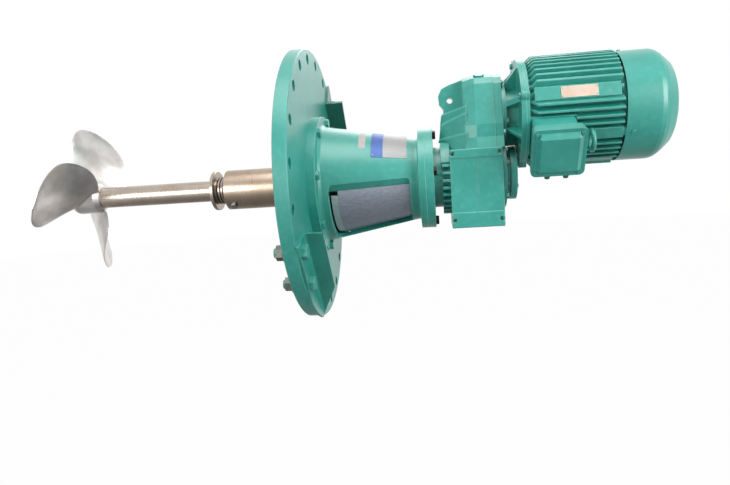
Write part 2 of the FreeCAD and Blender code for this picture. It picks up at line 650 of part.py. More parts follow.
def box_outline(inset, top=BOX_TOP):
    half = HALF - inset
    low = inset - BOX_BOTTOM
    return [
        (-half, low + CHAMFER), (CHAMFER - half, low), (half - CHAMFER, low), (half, low + CHAMFER),
        (half, top), (-half, top),
    ]


def tower_outline(inset, foot, drop=None):
    """Outline of the tower; drop is how much lower its crown lies, if not as much as the sides are in."""
    half = TOWER_HALF - inset
    wide = TOP_HALF - inset
    top = TOWER_TOP - (inset if drop is None else drop)
    left = [
        (-HALF + inset, foot), (-HALF + inset, BOX_TOP), (-half, TOWER_SHOULDER), (-half, TOWER_KNEE),
        (-wide, top - CROWN), (-wide * 0.82, top - CROWN * 0.42), (-wide * 0.45, top - CROWN * 0.07),
    ]
    return left + [(-y, z) for y, z in reversed(left)]


MID_BEARING_X = GEAR_X - 4.0 - MID_BEARING[2]
NOSE_X = BOX_START - 24.0
NOSE_HALF = 34.0
STEP_BEVEL = 4.5
SINK = 5.0
TOWER_IN = TOWER_START + SINK
TOWER_FULL = TOWER_START + TOWER_SLOPE
housing = prism(box_outline(0.0), BOX_START, BOX_END)


def ring_at(x, points):
    """Closed wire in the plane at x from (y, z) points."""
    return Part.makePolygon([Vector(x, y, z) for y, z in points] + [Vector(x, *points[0])])


def tower_solid(wall, x0, foot):
    """The tower's bevelled front and straight part: the outside or, with a wall, the room inside."""
    front = ring_at(x0, tower_outline(TOWER_BEVEL + wall, foot, TOWER_DROP + wall))
    back = ring_at(TOWER_FULL, tower_outline(wall, foot))
    bevelled = Part.makeLoft([front, back], True, True)
    return bevelled.fuse(prism(tower_outline(wall, foot), TOWER_FULL, TOWER_END + (1.0 if wall else 0.0)))


tower = tower_solid(0.0, TOWER_START, BOX_TOP - SINK)


def nose_step(x, half, back_half, side_points):
    """One step of the bearing block before the tower: it widens towards the tower and slopes up to it."""
    plan = Part.Face(Part.makePolygon([
        Vector(x, -half, 0), Vector(x, half, 0), Vector(TOWER_IN, back_half, 0),
        Vector(TOWER_IN, -back_half, 0), Vector(x, -half, 0),
    ])).extrude(Vector(0, 0, TOWER_TOP))
    points = [Vector(px, -BOX_WIDTH / 2, pz) for px, pz in side_points]
    side = Part.Face(Part.makePolygon(points + points[:1])).extrude(Vector(0, BOX_WIDTH, 0))
    step = plan.common(side)
    top = max(step.Faces, key=lambda f: f.CenterOfMass.z)
    rim = [e for e in top.Edges if abs(e.CenterOfMass.x - TOWER_IN) > 1.0]
    return step.makeChamfer(STEP_BEVEL, rim)


low_step = nose_step(NOSE_X, NOSE_HALF, 78.0, [
    (NOSE_X, MID_Z - 12), (NOSE_X, MID_Z + 2), (TOWER_IN, MID_Z + 13), (TOWER_IN, BOX_TOP - SINK),
    (BOX_START + 1, BOX_TOP - SINK), (BOX_START + 1, MID_Z - 12),
])
middle_step = nose_step(NOSE_X + 2, NOSE_HALF - 5, 73.0, [
    (NOSE_X + 2, MID_Z), (NOSE_X + 7, MID_Z + 38), (TOWER_IN, MID_Z + 60), (TOWER_IN, MID_Z),
])
high_step = nose_step(NOSE_X + 6, NOSE_HALF - 12, 66.0, [
    (NOSE_X + 6, MID_Z + 36), (NOSE_X + 10, MID_Z + 63), (TOWER_IN, MID_Z + 76), (TOWER_IN, MID_Z + 36),
])
LUG_X = BOX_START + 8.0
LUG_Z = BOX_TOP + 123.0
lug_outline = [
    (36.0, 53.0), (30.5, 46.8), (-1.8, 37.3), (-19.4, 29.0), (-27.6, 12.6), (-26.1, -7.1),
    (-16.8, -20.0), (-16.8, -40.0), (36.0, -40.0),
]
lug_points = [Vector(LUG_X + px, -LUG_THICK / 2, LUG_Z + pz) for px, pz in lug_outline]
lug = Part.Face(Part.makePolygon(lug_points + lug_points[:1])).extrude(Vector(0, LUG_THICK, 0))
PAD_BANDS = ((-BOX_BOTTOM + 2, -BOX_BOTTOM + 37), (BOX_TOP - 20, BOX_TOP - 1))
pads = [
    box(BOX_START + 2, BOX_END - 2, -HALF - PAD_PROUD, HALF + PAD_PROUD, low, high) for low, high in PAD_BANDS
]
housing = fuse_all([housing, tower, low_step, middle_step, high_step, lug] + pads)
room = prism(box_outline(BOX_WALL, BOX_TOP - BOX_WALL), BOX_START + BOX_WALL, BOX_END - BOX_WALL)
gear_tip = MODULE_OUT * (TEETH_OUT + 2) / 2
mouth_radius = gear_tip + 2.0
ROOM_FLOOR = BOX_TOP - BOX_WALL - SINK
rear_mouth = rod(BOX_END - BOX_WALL - 1, BOX_END + 1, 2 * mouth_radius)
rear_mouth = rear_mouth.common(box(BOX_START, BOX_END + 1, -HALF, HALF, -HALF, BOX_TOP - BOX_WALL))
tower_room = tower_solid(BOX_WALL, TOWER_START + BOX_WALL, ROOM_FLOOR)
room_half = 0.7 * gear_tip
block_room = box(GEAR_X - 4.0, TOWER_START + BOX_WALL + 1, -room_half, room_half, ROOM_FLOOR, MID_Z + 35)
housing = housing.cut([
    room, rear_mouth, tower_room, block_room, rod(NOSE_X - 1, BOX_START, COLLAR_DIA + 2 * FIT),
    rod(BOX_START - 1, BOX_START + BOX_WALL + 1, OUT_BEARING[1] + 4.0),
    rod(MID_BEARING_X, GEAR_X, MID_BEARING[1], z=MID_Z),
    rod(MID_BEARING_X - 6, GEAR_X, MID_BEARING[0] + 8.0, z=MID_Z),
])
lug_side = Vector(LUG_X, -LUG_THICK / 2 - 1, LUG_Z)
lug_hole = Part.makeCylinder(LUG_HOLE / 2, LUG_THICK + 2, lug_side, Vector(0, 1, 0))
FOOT_TAP = 10.0
FOOT_DEPTH = 8.0
FOOT_X = (BOX_START + 7.0, BOX_END - 7.0)
FOOT_Z = (-BOX_BOTTOM + 19.0, BOX_TOP - 10.0)
foot_taps = []
for side in (-1, 1):
    for x in FOOT_X:
        for z in FOOT_Z:
            mouth = Vector(x, side * (HALF + PAD_PROUD + 1), z)
            foot_taps.append(Part.makeCylinder(FOOT_TAP / 2, FOOT_DEPTH + 1, mouth, Vector(0, -side, 0)))
housing = housing.cut([lug_hole] + foot_taps)
PART_X = BOX_START + 64.0
GROOVE = 0.8
for side in (-1, 1):
    line = box(PART_X, PART_X + GROOVE, -GROOVE, GROOVE, PAD_BANDS[0][1], PAD_BANDS[1][0])
    line.translate(Vector(0, side * HALF, 0))
    housing = housing.cut(line)

# Breather plug on the near upper facet of the tower
BREATHER_X = TOWER_START + 39.0
BREATHER_DIA = 16.0
BREATHER_DEPTH = 14.0
BREATHER_HEAD = 4.5
BREATHER_ACROSS = 22.0
(low_y, low_z), (high_y, high_z) = tower_outline(0.0, 0.0)[5:7]
plug_angle = math.degrees(math.atan2(high_y - low_y, high_z - low_z))
plug_radius = -(low_y + high_y) / 2 / math.cos(math.radians(plug_angle))
plug_z = (low_z + high_z) / 2 - plug_radius * math.sin(math.radians(plug_angle))
breather_hole = Part.makeCylinder(
    BREATHER_DIA / 2 + FIT, 40, Vector(BREATHER_X, -plug_radius - 10, plug_z), Vector(0, 1, 0)
)
housing = housing.cut(turn(breather_hole, plug_angle, plug_z))

# Screws of the cover: bosses and tapped holes in the housing
GEARBOX_SCREW = 8.0
BOSS_DEPTH = 24.0
TAP_DEPTH = 16.0
FOOT_RADIUS = mouth_radius + 13.0
FOOT_TAP_DEPTH = 7.0
FOOT_PCD = mouth_radius + FOOT_RADIUS
tower_spots = [(side * (TOWER_HALF - 8.0), TOWER_SHOULDER + 8) for side in (-1, 1)]
tower_spots += [(side * (TOP_HALF - 11.0), TOWER_TOP - CROWN - 1) for side in (-1, 1)]
tower_spots.append((0.0, TOWER_TOP - 11.0))
foot_turns = [math.radians(45 + 90 * k) for k in range(4)]
foot_spots = [(FOOT_PCD / 2 * math.cos(a), FOOT_PCD / 2 * math.sin(a)) for a in foot_turns]
bosses = [rod(TOWER_END - BOSS_DEPTH, TOWER_END, 2 * GEARBOX_SCREW, y, z) for y, z in tower_spots]
housing = fuse_all([housing] + bosses)
hole_dia = GEARBOX_SCREW + 2 * FIT
housing = housing.cut(
    [rod(TOWER_END - TAP_DEPTH - 0.5, TOWER_END + 1, hole_dia, y, z) for y, z in tower_spots]
    + [rod(BOX_END - FOOT_TAP_DEPTH - 0.5, BOX_END + 1, hole_dia, y, z) for y, z in foot_spots]
)
save("gearbox_housing", housing)
breather = hexagon(0, BREATHER_HEAD, BREATHER_ACROSS).fuse(rod(-BREATHER_DEPTH, 1, BREATHER_DIA))
breather = radial(breather.removeSplitter(), BREATHER_X, plug_radius + FIT, plug_angle, plug_z)
save("breather_plug", breather)

# Gearbox cover: one casting with a foot plate over the lower box and a tall plate over the tower
REAR_BEARING_X = FOOT_END - COVER_FOOT + 1.0
HUB_END = REAR_BEARING_X + OUT_BEARING[2] + 2.0
HUB_DIA_REAR = OUT_BEARING[1] + 20.0
plate_top = prism(tower_outline(2.0, BOX_TOP - SINK), TOWER_END, COVER_END)
plate_top = plate_top.cut(box(TOWER_END - 1, COVER_END + 1, -BOX_WIDTH, BOX_WIDTH, 0, BOX_TOP + FIT))
STEP_Z = BOX_TOP + 1.5
plate_foot = rod(BOX_END, FOOT_END, 2 * FOOT_RADIUS)
plate_foot = plate_foot.common(box(BOX_END, FOOT_END, -HALF, HALF, -HALF, STEP_Z))
rear_hub = rod(BOX_END, HUB_END, HUB_DIA_REAR)
rear_rib = box(FOOT_END - 1, HUB_END - 4, -HUB_DIA_REAR / 2 - 8, -HUB_DIA_REAR / 2 + 3, -3, 3)
rear_ribs = ring_of(rear_rib, 8, 22.5)
cover = fuse_all([plate_top, plate_foot, rear_hub] + rear_ribs)
MOTOR_SHAFT_DIA = 35.0
INPUT_SEAL_DIA = 52.0
INPUT_SEAL_X = TOWER_END + 2.0
REAR_MID_X = TOWER_END
cover = cover.cut([
    rod(BOX_END - 1, REAR_BEARING_X + 1, OUT_BEARING[1] - 10),
    rod(REAR_BEARING_X, HUB_END + 1, OUT_BEARING[1]),
    rod(TOWER_END - 1, REAR_MID_X + MID_BEARING[2], MID_BEARING[1], z=MID_Z),
    rod(TOWER_END - 1, COVER_END + 1, MOTOR_SHAFT_DIA + 4, z=MOTOR_Z),
    rod(INPUT_SEAL_X, COVER_END + 1, INPUT_SEAL_DIA, z=MOTOR_Z),
])


def screw_at(y, z, x, length):
    new = bolt(GEARBOX_SCREW, length)
    new.translate(Vector(x, y, z))
    return new


gearbox_screws = [screw_at(y, z, COVER_END, COVER_THICK + TAP_DEPTH) for y, z in tower_spots]
gearbox_screws += [screw_at(y, z, FOOT_END, COVER_FOOT + FOOT_TAP_DEPTH) for y, z in foot_spots]
cover = cover.cut([rod(TOWER_END - 1, COVER_END + 1, hole_dia, y, z) for y, z in tower_spots + foot_spots])
cover = cover.cut([rod(BOX_END - 1, FOOT_END + 1, hole_dia, y, z) for y, z in foot_spots])
BASE_DIA = 156.0
BASE_PCD = 141.0
BASE_TURNS = (-16.5, 73.5, 163.5, 247.5)
BASE_DEPTH = 12.0
base_tap = at_radius(rod(COVER_END - BASE_DEPTH - 0.5, COVER_END + 1, hole_dia), 0, BASE_PCD / 2, MOTOR_Z)
cover = cover.cut([turn(base_tap, a, MOTOR_Z) for a in BASE_TURNS])

# Output end cap over the hollow shaft's rear end
CAP_DIA = HUB_DIA_REAR + 15.0
CAP_FACE = 4.0
CAP_LENGTH = 15.0
CAP_BORE = OUT_BEARING[1] - 12.0
CAP_END = HUB_END + CAP_LENGTH
end_cap = rod(HUB_END, CAP_END, CAP_DIA).cut(rod(HUB_END - 1, CAP_END - CAP_FACE, CAP_BORE))
CAP_PCD = OUT_BEARING[1] + 8.0
CAP_SCREWS = 6
CAP_SCREW = 5.0
cap_hole = at_radius(rod(HUB_END - 10, CAP_END + 1, CAP_SCREW + 2 * FIT), 0, CAP_PCD / 2)
end_cap = end_cap.cut(ring_of(cap_hole, CAP_SCREWS, 22.5))
cover = cover.cut(ring_of(cap_hole, CAP_SCREWS, 22.5))
save("gearbox_cover", cover)
save("output_end_cap", end_cap)
cap_screw = at_radius(bolt(CAP_SCREW, CAP_LENGTH + 8.0), CAP_END, CAP_PCD / 2)
save("end_cap_screws", ring_of(cap_screw, CAP_SCREWS, 22.5))

# Oil seals: lipped rings round the hollow shaft and the motor shaft
out_seal = tube(SEAL_RING_X, SEAL_RING_X + SEAL_RING_WIDTH, SEAL_RING, HOLLOW_DIA + 2 * RUN)
seal_bore = MOTOR_SHAFT_DIA + 2 * RUN
in_seal = tube(INPUT_SEAL_X, INPUT_SEAL_X + SEAL_RING_WIDTH, INPUT_SEAL_DIA - 2 * FIT, seal_bore, z=MOTOR_Z)
save("oil_seals", [out_seal, in_seal])

# Bearings
MOTOR_BEARING_X = FRAME_START - 1.0
FAN_BEARING_X = FRAME_END + 1.0
places = {
    "output": (OUT_BEARING, (BEARING_X, REAR_BEARING_X), 0.0, 12),
    "intermediate": (MID_BEARING, (MID_BEARING_X, REAR_MID_X), MID_Z, 8),
    "motor": (MOTOR_BEARING, (MOTOR_BEARING_X, FAN_BEARING_X), MOTOR_Z, 9),
}
sets = {name: [bearing(size, x, z, balls) for x in pair] for name, (size, pair, z, balls) in places.items()}
save("bearing_outer_rings", [one[0] for pair in sets.values() for one in pair])
save("bearing_balls", [ball for pair in sets.values() for one in pair for ball in one[2]])
for name, pair in sets.items():
    save(name + "_bearing_inners", [one[1] for one in pair])

# Hollow output shaft with its gear; the keyway runs its whole length so that the mixer shaft can slide
HOLLOW_START = LANTERN_END - SPIGOT
GEAR_END = GEAR_X + WIDTH_OUT
HOLLOW_END = REAR_BEARING_X + OUT_BEARING[2]
KEY_WIDTH = 12.0
KEY_HEIGHT = 8.0
GEAR_SEAT = HOLLOW_DIA + 8.0
STOP_DIA = HOLLOW_DIA + 20.0
hollow = turned([
    (HOLLOW_START, 0), (HOLLOW_START, HOLLOW_DIA / 2), (BEARING_X + OUT_BEARING[2], HOLLOW_DIA / 2),
    (BEARING_X + OUT_BEARING[2], GEAR_SEAT / 2), (GEAR_X - 6, GEAR_SEAT / 2), (GEAR_X - 6, STOP_DIA / 2),
    (GEAR_X, STOP_DIA / 2), (GEAR_X, GEAR_SEAT / 2), (REAR_BEARING_X, GEAR_SEAT / 2),
    (REAR_BEARING_X, HOLLOW_DIA / 2),
    (HOLLOW_END, HOLLOW_DIA / 2), (HOLLOW_END, 0),
])
hollow = hollow.cut(rod(HOLLOW_START - 1, HOLLOW_END + 1, STUB_DIA + 2 * RUN))
key_half = KEY_WIDTH / 2 + RUN
keyway_top = STUB_DIA / 2 + KEY_HEIGHT * 0.42
hollow = hollow.cut(box(HOLLOW_START - 1, HOLLOW_END + 1, -key_half, key_half, 0, keyway_top))
save("hollow_shaft", hollow)
out_gear = gear(MODULE_OUT, TEETH_OUT, GEAR_X, GEAR_END, GEAR_SEAT + 2 * FIT, 0.0, 90.0)
GEAR_WEB = 5.0
groove_out = MODULE_OUT * (TEETH_OUT - 6) / 2
groove_in = GEAR_SEAT / 2 + 9.0
for x0, x1 in ((GEAR_X - 1, GEAR_X + GEAR_WEB), (GEAR_END - GEAR_WEB, GEAR_END + 1)):
    out_gear = out_gear.cut(tube(x0, x1, 2 * groove_out, 2 * groove_in))
save("output_gear", out_gear)

# Mixer shaft, its key, plug, rings and propeller
STUB_END = SHAFT_SHOULDER + STUB_LENGTH
HUB_START = -SHAFT_REACH - HUB_LENGTH
TAIL_END = HUB_START - PROP_NUT_LENGTH + 4.0
shaft = turned([
    (TAIL_END, 0), (TAIL_END, TAIL_DIA / 2 - 4), (HUB_START, TAIL_DIA / 2 - 4), (HUB_START, TAIL_DIA / 2),
    (-SHAFT_REACH, TAIL_DIA / 2), (-SHAFT_REACH, SHAFT_DIA / 2), (SHAFT_SHOULDER - 3, SHAFT_DIA / 2),
    (SHAFT_SHOULDER, SHAFT_DIA / 2 - 3), (SHAFT_SHOULDER, STUB_DIA / 2), (STUB_END - 2, STUB_DIA / 2),
    (STUB_END, STUB_DIA / 2 - 2), (STUB_END, 0),
])
KEY_START = BEARING_X
KEY_END = KEY_START + 90.0
key_floor = STUB_DIA / 2 - KEY_HEIGHT * 0.6
shaft = shaft.cut(box(KEY_START, KEY_END, -KEY_WIDTH / 2, KEY_WIDTH / 2, key_floor, STUB_DIA))
save("mixer_shaft", shaft)
side = KEY_WIDTH / 2 - FIT
save("drive_key", box(KEY_START + FIT, KEY_END - FIT, -side, side, key_floor + FIT, keyway_top - 2 * RUN))
PLUG_END = SLEEVE_END - PLUG_GAP
PLUG_START = PLUG_END - PLUG_LENGTH
plug = turned([
    (PLUG_START - PLUG_DISC_THICK, SHAFT_DIA / 2 + FIT),
    (PLUG_START - PLUG_DISC_THICK, PLUG_DISC_DIA / 2 - 1),
    (PLUG_START - PLUG_DISC_THICK + 1, PLUG_DISC_DIA / 2), (PLUG_START - 1, PLUG_DISC_DIA / 2),
    (PLUG_START, PLUG_DISC_DIA / 2 - 1), (PLUG_START, PLUG_DIA / 2), (PLUG_END - 2, PLUG_DIA / 2),
    (PLUG_END, PLUG_DIA / 2 - 2), (PLUG_END, SHAFT_DIA / 2 + FIT),
])
rings = []
for x in (PLUG_START + 5.0, PLUG_START + 13.0):
    plug = plug.cut(tube(x - ORING_SECTION / 2, x + ORING_SECTION / 2, PLUG_DIA + 2, PLUG_DIA - 5.2))
    ring_radius = PLUG_DIA / 2 - 0.5
    rings.append(Part.makeTorus(ring_radius, ORING_SECTION / 2 - FIT, Vector(x, 0, 0), Vector(1, 0, 0)))
save("shutoff_plug", plug)
save("plug_orings", rings)

# Propeller: three cast blades on a hub. Each blade is lofted through flat sections square to its radius.
# Columns: share of the blade's height, chord, skew along the chord, angle from the shaft axis, rake along X,
# camber, and thickness as a share of the root's
SECTIONS = (
    (-0.10, 72.0, -4.0, 30.0, 10.0, 0.0, 1.00),
    (0.00, 90.0, 0.0, 35.0, 6.5, 0.5, 0.95),
    (0.22, 151.0, 10.0, 46.5, -9.0, 2.0, 0.78),
    (0.44, 172.0, 11.5, 57.0, -18.0, 3.0, 0.60),
    (0.65, 170.0, 7.0, 64.0, -18.5, 3.0, 0.46),
    (0.82, 151.0, 0.5, 66.0, -18.0, 2.5, 0.34),
    (0.94, 102.0, -5.5, 66.0, -17.0, 1.0, 0.26),
    (1.00, 42.0, -9.0, 66.0, -16.5, 0.3, 0.20),
)
HUB_MID = -SHAFT_REACH - HUB_LENGTH / 2 + 2.5
ROOT_RADIUS = HUB_DIA / 2 - 4.0
DRAWN_REACH = 207.0   # of the blade that the section sizes belong to
EDGE_HALF = 0.5


def blade_section(share, chord, skew, angle, rake, camber, thickness):
    """Closed flat wire of one blade section for a blade that points to the near side."""
    radius = ROOT_RADIUS + share * (PROP_DIA / 2 - ROOT_RADIUS)
    scale = PROP_DIA / 2 / DRAWN_REACH
    slope = math.radians(angle)
    thinnest = SECTIONS[-1][-1]
    thick = BLADE_TIP + (BLADE_ROOT - BLADE_TIP) * (thickness - thinnest) / (1 - thinnest)
    count = 8
    rows = []
    for k in range(count + 1):
        u = -math.cos(math.pi * k / count)
        rows.append((u, camber * (1 - u * u), thick / 2 * math.sqrt(max(0.0, 1 - u * u)) + EDGE_HALF))

    def place(u, across):
        a = (chord / 2 * u + skew) * scale
        d = across * scale
        x = HUB_MID + rake * scale + a * math.cos(slope) - d * math.sin(slope)
        return Vector(x, -radius, a * math.sin(slope) + d * math.cos(slope))

    upper = [place(u, c + t) for u, c, t in rows]
    lower = [place(u, c - t) for u, c, t in reversed(rows)]
    first = Part.BSplineCurve()
    first.interpolate(upper)
    second = Part.BSplineCurve()
    second.interpolate(lower)
    close_a = Part.LineSegment(upper[-1], lower[0])
    close_b = Part.LineSegment(lower[-1], upper[0])
    return Part.Wire([first.toShape(), close_a.toShape(), second.toShape(), close_b.toShape()])


wires = [blade_section(*row) for row in SECTIONS]
blade = Part.makeLoft(wires, True, False)
HUB_ROUND = 6.0
hub = turned([
    (HUB_START, TAIL_DIA / 2 + FIT), (HUB_START, HUB_DIA / 2 - HUB_ROUND),
    (HUB_START + HUB_ROUND, HUB_DIA / 2 - 1.5),
    (HUB_START + 2 * HUB_ROUND, HUB_DIA / 2), (-SHAFT_REACH - 2 * HUB_ROUND, HUB_DIA / 2 - 1),
    (-SHAFT_REACH, SHAFT_DIA / 2 + 3), (-SHAFT_REACH, TAIL_DIA / 2 + FIT),
])
blade = blade.cut(rod(HUB_START - 80, 80 - SHAFT_REACH, TAIL_DIA + 20))
propeller = hub.multiFuse(ring_of(blade, BLADES, BLADE_ANGLE))
save("propeller", propeller)
nut = hexagon(HUB_START - PROP_NUT_LENGTH + 8, HUB_START, 46.0)
nut = nut.fuse(Part.makeCone(14, 21, 8, Vector(HUB_START - PROP_NUT_LENGTH, 0, 0), Vector(1, 0, 0)))
nut = nut.cut(rod(TAIL_END, HUB_START + 1, TAIL_DIA - 8 + 2 * FIT))
save("propeller_nut", nut)

# Intermediate shaft with its pinion, and the wheel that the motor pinion drives
GAP_TURN = 180.0 / TEETH_PINION
mid_shaft = turned([
    (MID_BEARING_X, 0), (MID_BEARING_X, MID_BEARING[0] / 2),
    (GEAR_X - 4, MID_BEARING[0] / 2), (GEAR_X - 4, 15),
    (TOWER_END - 4, 15), (TOWER_END - 4, 13), (TOWER_END, 13), (TOWER_END, MID_BEARING[0] / 2),
    (TOWER_END + MID_BEARING[2], MID_BEARING[0] / 2), (TOWER_END + MID_BEARING[2], 0),
], MID_Z)
pinion = gear(MODULE_OUT, TEETH_PINION, GEAR_X - 2, GEAR_END + 2, 0, MID_Z, -90.0 + GAP_TURN)
mid_shaft = mid_shaft.fuse(pinion).removeSplitter()
save("intermediate_shaft", mid_shaft)
wheel = gear(MODULE_IN, TEETH_WHEEL, WHEEL_X, WHEEL_X + WIDTH_IN, 30.0 + 2 * FIT, MID_Z, 90.0)
save("intermediate_gear", wheel)

# Motor adaptor: ribbed neck between gearbox cover and motor
ADAPTOR_END = FRAME_START - 7.0
NECK_OUT = 124.0
NECK_IN = 104.0
BASE_END = COVER_END + 9.0
HEAD_START = ADAPTOR_END - 11.0
HEAD_DIA = 256.0
EAR_PCD = 244.0
EAR_DIA = 26.0
EAR_TURN = MOTOR_CLOCK + 45.0
EAR_SCREW = 8.0
adaptor = fuse_all([
    rod(COVER_END, BASE_END, BASE_DIA, z=MOTOR_Z),
    rod(COVER_END, ADAPTOR_END, NECK_OUT, z=MOTOR_Z),
    rod(HEAD_START, ADAPTOR_END, HEAD_DIA, z=MOTOR_Z),
] + ring_of(at_radius(rod(HEAD_START, ADAPTOR_END, EAR_DIA), 0, EAR_PCD / 2, MOTOR_Z), 4, EAR_TURN, MOTOR_Z))


def adaptor_rib(thick, head_radius, knee=None):
    """Web from the base to the head, on the near side; its edge may have a knee, an (x, radius) point."""
    outline = [(BASE_END - 1, NECK_IN / 2 + 2), (BASE_END - 1, BASE_DIA / 2)]
    if knee:
        outline.append(knee)
    outline += [(HEAD_START + 1, head_radius), (HEAD_START + 1, NECK_IN / 2 + 2)]
    points = [Vector(x, -r, MOTOR_Z - thick / 2) for x, r in outline]
    return Part.Face(Part.makePolygon(points + points[:1])).extrude(Vector(0, 0, thick))


WEB_THICK = 14.0
WEB_RADIUS = EAR_PCD / 2 - EAR_SCREW - 6.0
low_knee = (CAP_END + 1.0, BASE_DIA / 2 - 2.0)
webs = [turn(adaptor_rib(WEB_THICK, WEB_RADIUS), EAR_TURN + k, MOTOR_Z) for k in (0.0, 90.0, 180.0)]
webs.append(turn(adaptor_rib(WEB_THICK, WEB_RADIUS, low_knee), EAR_TURN - 90.0, MOTOR_Z))
thin_web = adaptor_rib(WEB_THICK / 2, HEAD_DIA / 2 - 5)
webs += [turn(thin_web, EAR_TURN + k, MOTOR_Z) for k in (-45.0, 45.0, 135.0)]
adaptor = fuse_all([adaptor] + webs)
adaptor = adaptor.cut(rod(COVER_END - 1, ADAPTOR_END + 1, NECK_IN, z=MOTOR_Z))
base_screw_hole = at_radius(rod(COVER_END - 1, BASE_END + 8, hole_dia), 0, BASE_PCD / 2, MOTOR_Z)
ear_hole = at_radius(rod(HEAD_START - 1, ADAPTOR_END + 1, EAR_SCREW + 2 * FIT), 0, EAR_PCD / 2, MOTOR_Z)
adaptor = adaptor.cut([turn(base_screw_hole, a, MOTOR_Z) for a in BASE_TURNS])
adaptor = adaptor.cut(ring_of(ear_hole, 4, EAR_TURN, MOTOR_Z))
save("motor_adaptor", adaptor)
base_screw = bolt(GEARBOX_SCREW, BASE_END - COVER_END + BASE_DEPTH)
base_screw = at_radius(base_screw, BASE_END, BASE_PCD / 2, MOTOR_Z)
gearbox_screws += [turn(base_screw, a, MOTOR_Z) for a in BASE_TURNS]
save("gearbox_screws", gearbox_screws)

# Drive-end shield with ears that take the adaptor's screws
SHIELD_END = FRAME_START
SPIGOT_END = FRAME_START + 20.0
shield_ear = at_radius(rod(ADAPTOR_END, SHIELD_END, EAR_DIA), 0, EAR_PCD / 2, MOTOR_Z)
shield = fuse_all([
    rod(ADAPTOR_END, SHIELD_END, HEAD_DIA, z=MOTOR_Z),
    rod(ADAPTOR_END, SPIGOT_END, FRAME_BORE - 2 * FIT, z=MOTOR_Z),
] + ring_of(shield_ear, 4, EAR_TURN, MOTOR_Z))
shield = shield.cut([
    tube(FRAME_START + 3, SPIGOT_END + 1, FRAME_BORE - 16, MOTOR_BEARING[1] + 16, z=MOTOR_Z),
    rod(MOTOR_BEARING_X, SPIGOT_END + 1, MOTOR_BEARING[1], z=MOTOR_Z),
    rod(ADAPTOR_END - 1, MOTOR_BEARING_X + 1, MOTOR_BEARING[0] + 4, z=MOTOR_Z),
])
shield_hole = at_radius(rod(ADAPTOR_END - 1, SHIELD_END + 1, EAR_SCREW + 2 * FIT), 0, EAR_PCD / 2, MOTOR_Z)
shield = shield.cut(ring_of(shield_hole, 4, EAR_TURN, MOTOR_Z))
save("drive_end_shield", shield)
flange_screw = bolt(EAR_SCREW, SHIELD_END - HEAD_START - 1.0, -1)
flange_screw = at_radius(flange_screw, HEAD_START, EAR_PCD / 2, MOTOR_Z)
save("motor_flange_screws", ring_of(flange_screw, 4, EAR_TURN, MOTOR_Z))

# Stator frame: ribbed casting. Fins stand in four groups, parallel to the motor's own upright and level
FIN_R = FIN_DIA / 2
CORE_R = CORE_DIA / 2
UPRIGHT = [26.0 + FIN_PITCH * k for k in range(4)]
LEVEL = [FIN_PITCH * (k + 0.5) for k in range(6)]
RAIL = 13.0
RAIL_TOP = FIN_R - 5.0
HALF_FIN = FIN_THICK / 2
fins = []
for offset in UPRIGHT:
    for side in (-1, 1):
        y = side * offset
        low = math.sqrt(CORE_R**2 - y * y) - 12
        for z0, z1 in ((low, FIN_R), (-FIN_R, -low)):
            fins.append(box(FRAME_START, FRAME_END, y - HALF_FIN, y + HALF_FIN, MOTOR_Z + z0, MOTOR_Z + z1))
for offset in LEVEL:
    for side in (-1, 1):
        z = MOTOR_Z + side * offset
        near = math.sqrt(CORE_R**2 - offset**2) - 12
        for y0, y1 in ((near, FIN_R), (-FIN_R, -near)):
            fins.append(box(FRAME_START, FRAME_END, y0, y1, z - HALF_FIN, z + HALF_FIN))
NOSE = FIN_R - CORE_R
envelope = turned([
    (FRAME_START, 0), (FRAME_START, CORE_R + 3), (FRAME_START + NOSE - 3, FIN_R), (FRAME_END, FIN_R),
    (FRAME_END, 0),
], MOTOR_Z)
fins = [fin.common(envelope) for fin in fins]
PAD_HALF = 15.5
PAD_R = FIN_R - 6.0
corner_pad = box(FRAME_START + 12, FRAME_END - 6, -PAD_R, -CORE_R + 9, MOTOR_Z - PAD_HALF, MOTOR_Z + PAD_HALF)
corner_pads = ring_of(corner_pad, 4, 45.0, MOTOR_Z)
pad_space = box(FRAME_START + 12, FRAME_END + 1, -FIN_R - 5, -PAD_R, MOTOR_Z - PAD_HALF, MOTOR_Z + PAD_HALF)
pad_spaces = ring_of(pad_space, 4, 45.0, MOTOR_Z)
rails = [
    box(FRAME_START + 14, FRAME_END, -RAIL, RAIL, MOTOR_Z + CORE_R - 9, MOTOR_Z + RAIL_TOP),
    box(FRAME_START + 14, FRAME_END, -RAIL, RAIL, MOTOR_Z - RAIL_TOP, MOTOR_Z - CORE_R + 9),
]
PERCH_HALF = 46.0
PERCH_X0 = BOX_START_X + 9.0
PERCH_X1 = BOX_START_X + BOX_SIZE_X - 9.0
PERCH = 118.0
perch = box(FRAME_START, PERCH_X1, -PERCH_HALF, PERCH_HALF, MOTOR_Z + 92, MOTOR_Z + PERCH)
core = rod(FRAME_START, FRAME_END, CORE_DIA, z=MOTOR_Z)
frame = core.multiFuse(fins + corner_pads + rails)
frame = frame.cut(pad_spaces)
perch_space = PERCH_HALF + 6
frame = frame.cut(
    box(FRAME_START - 1, PERCH_X1, -perch_space, perch_space, MOTOR_Z + PERCH, MOTOR_Z + FIN_R + 5)
)
frame = frame.fuse(perch)
EYE_X = FRAME_START + 130.0
EYE_SHANK = 12.0
frame = frame.cut([
    rod(FRAME_START - 1, FRAME_END + 1, FRAME_BORE, z=MOTOR_Z),
    Part.makeCylinder(22, 40, Vector(BOX_MID_X, 0, MOTOR_Z + PERCH - 30), Vector(0, 0, 1)),
    Part.makeCylinder(EYE_SHANK / 2 + FIT, 24, Vector(EYE_X, 0, MOTOR_Z + RAIL_TOP - 18), Vector(0, 0, 1)),
])
save("stator_frame", motor_frame(frame))

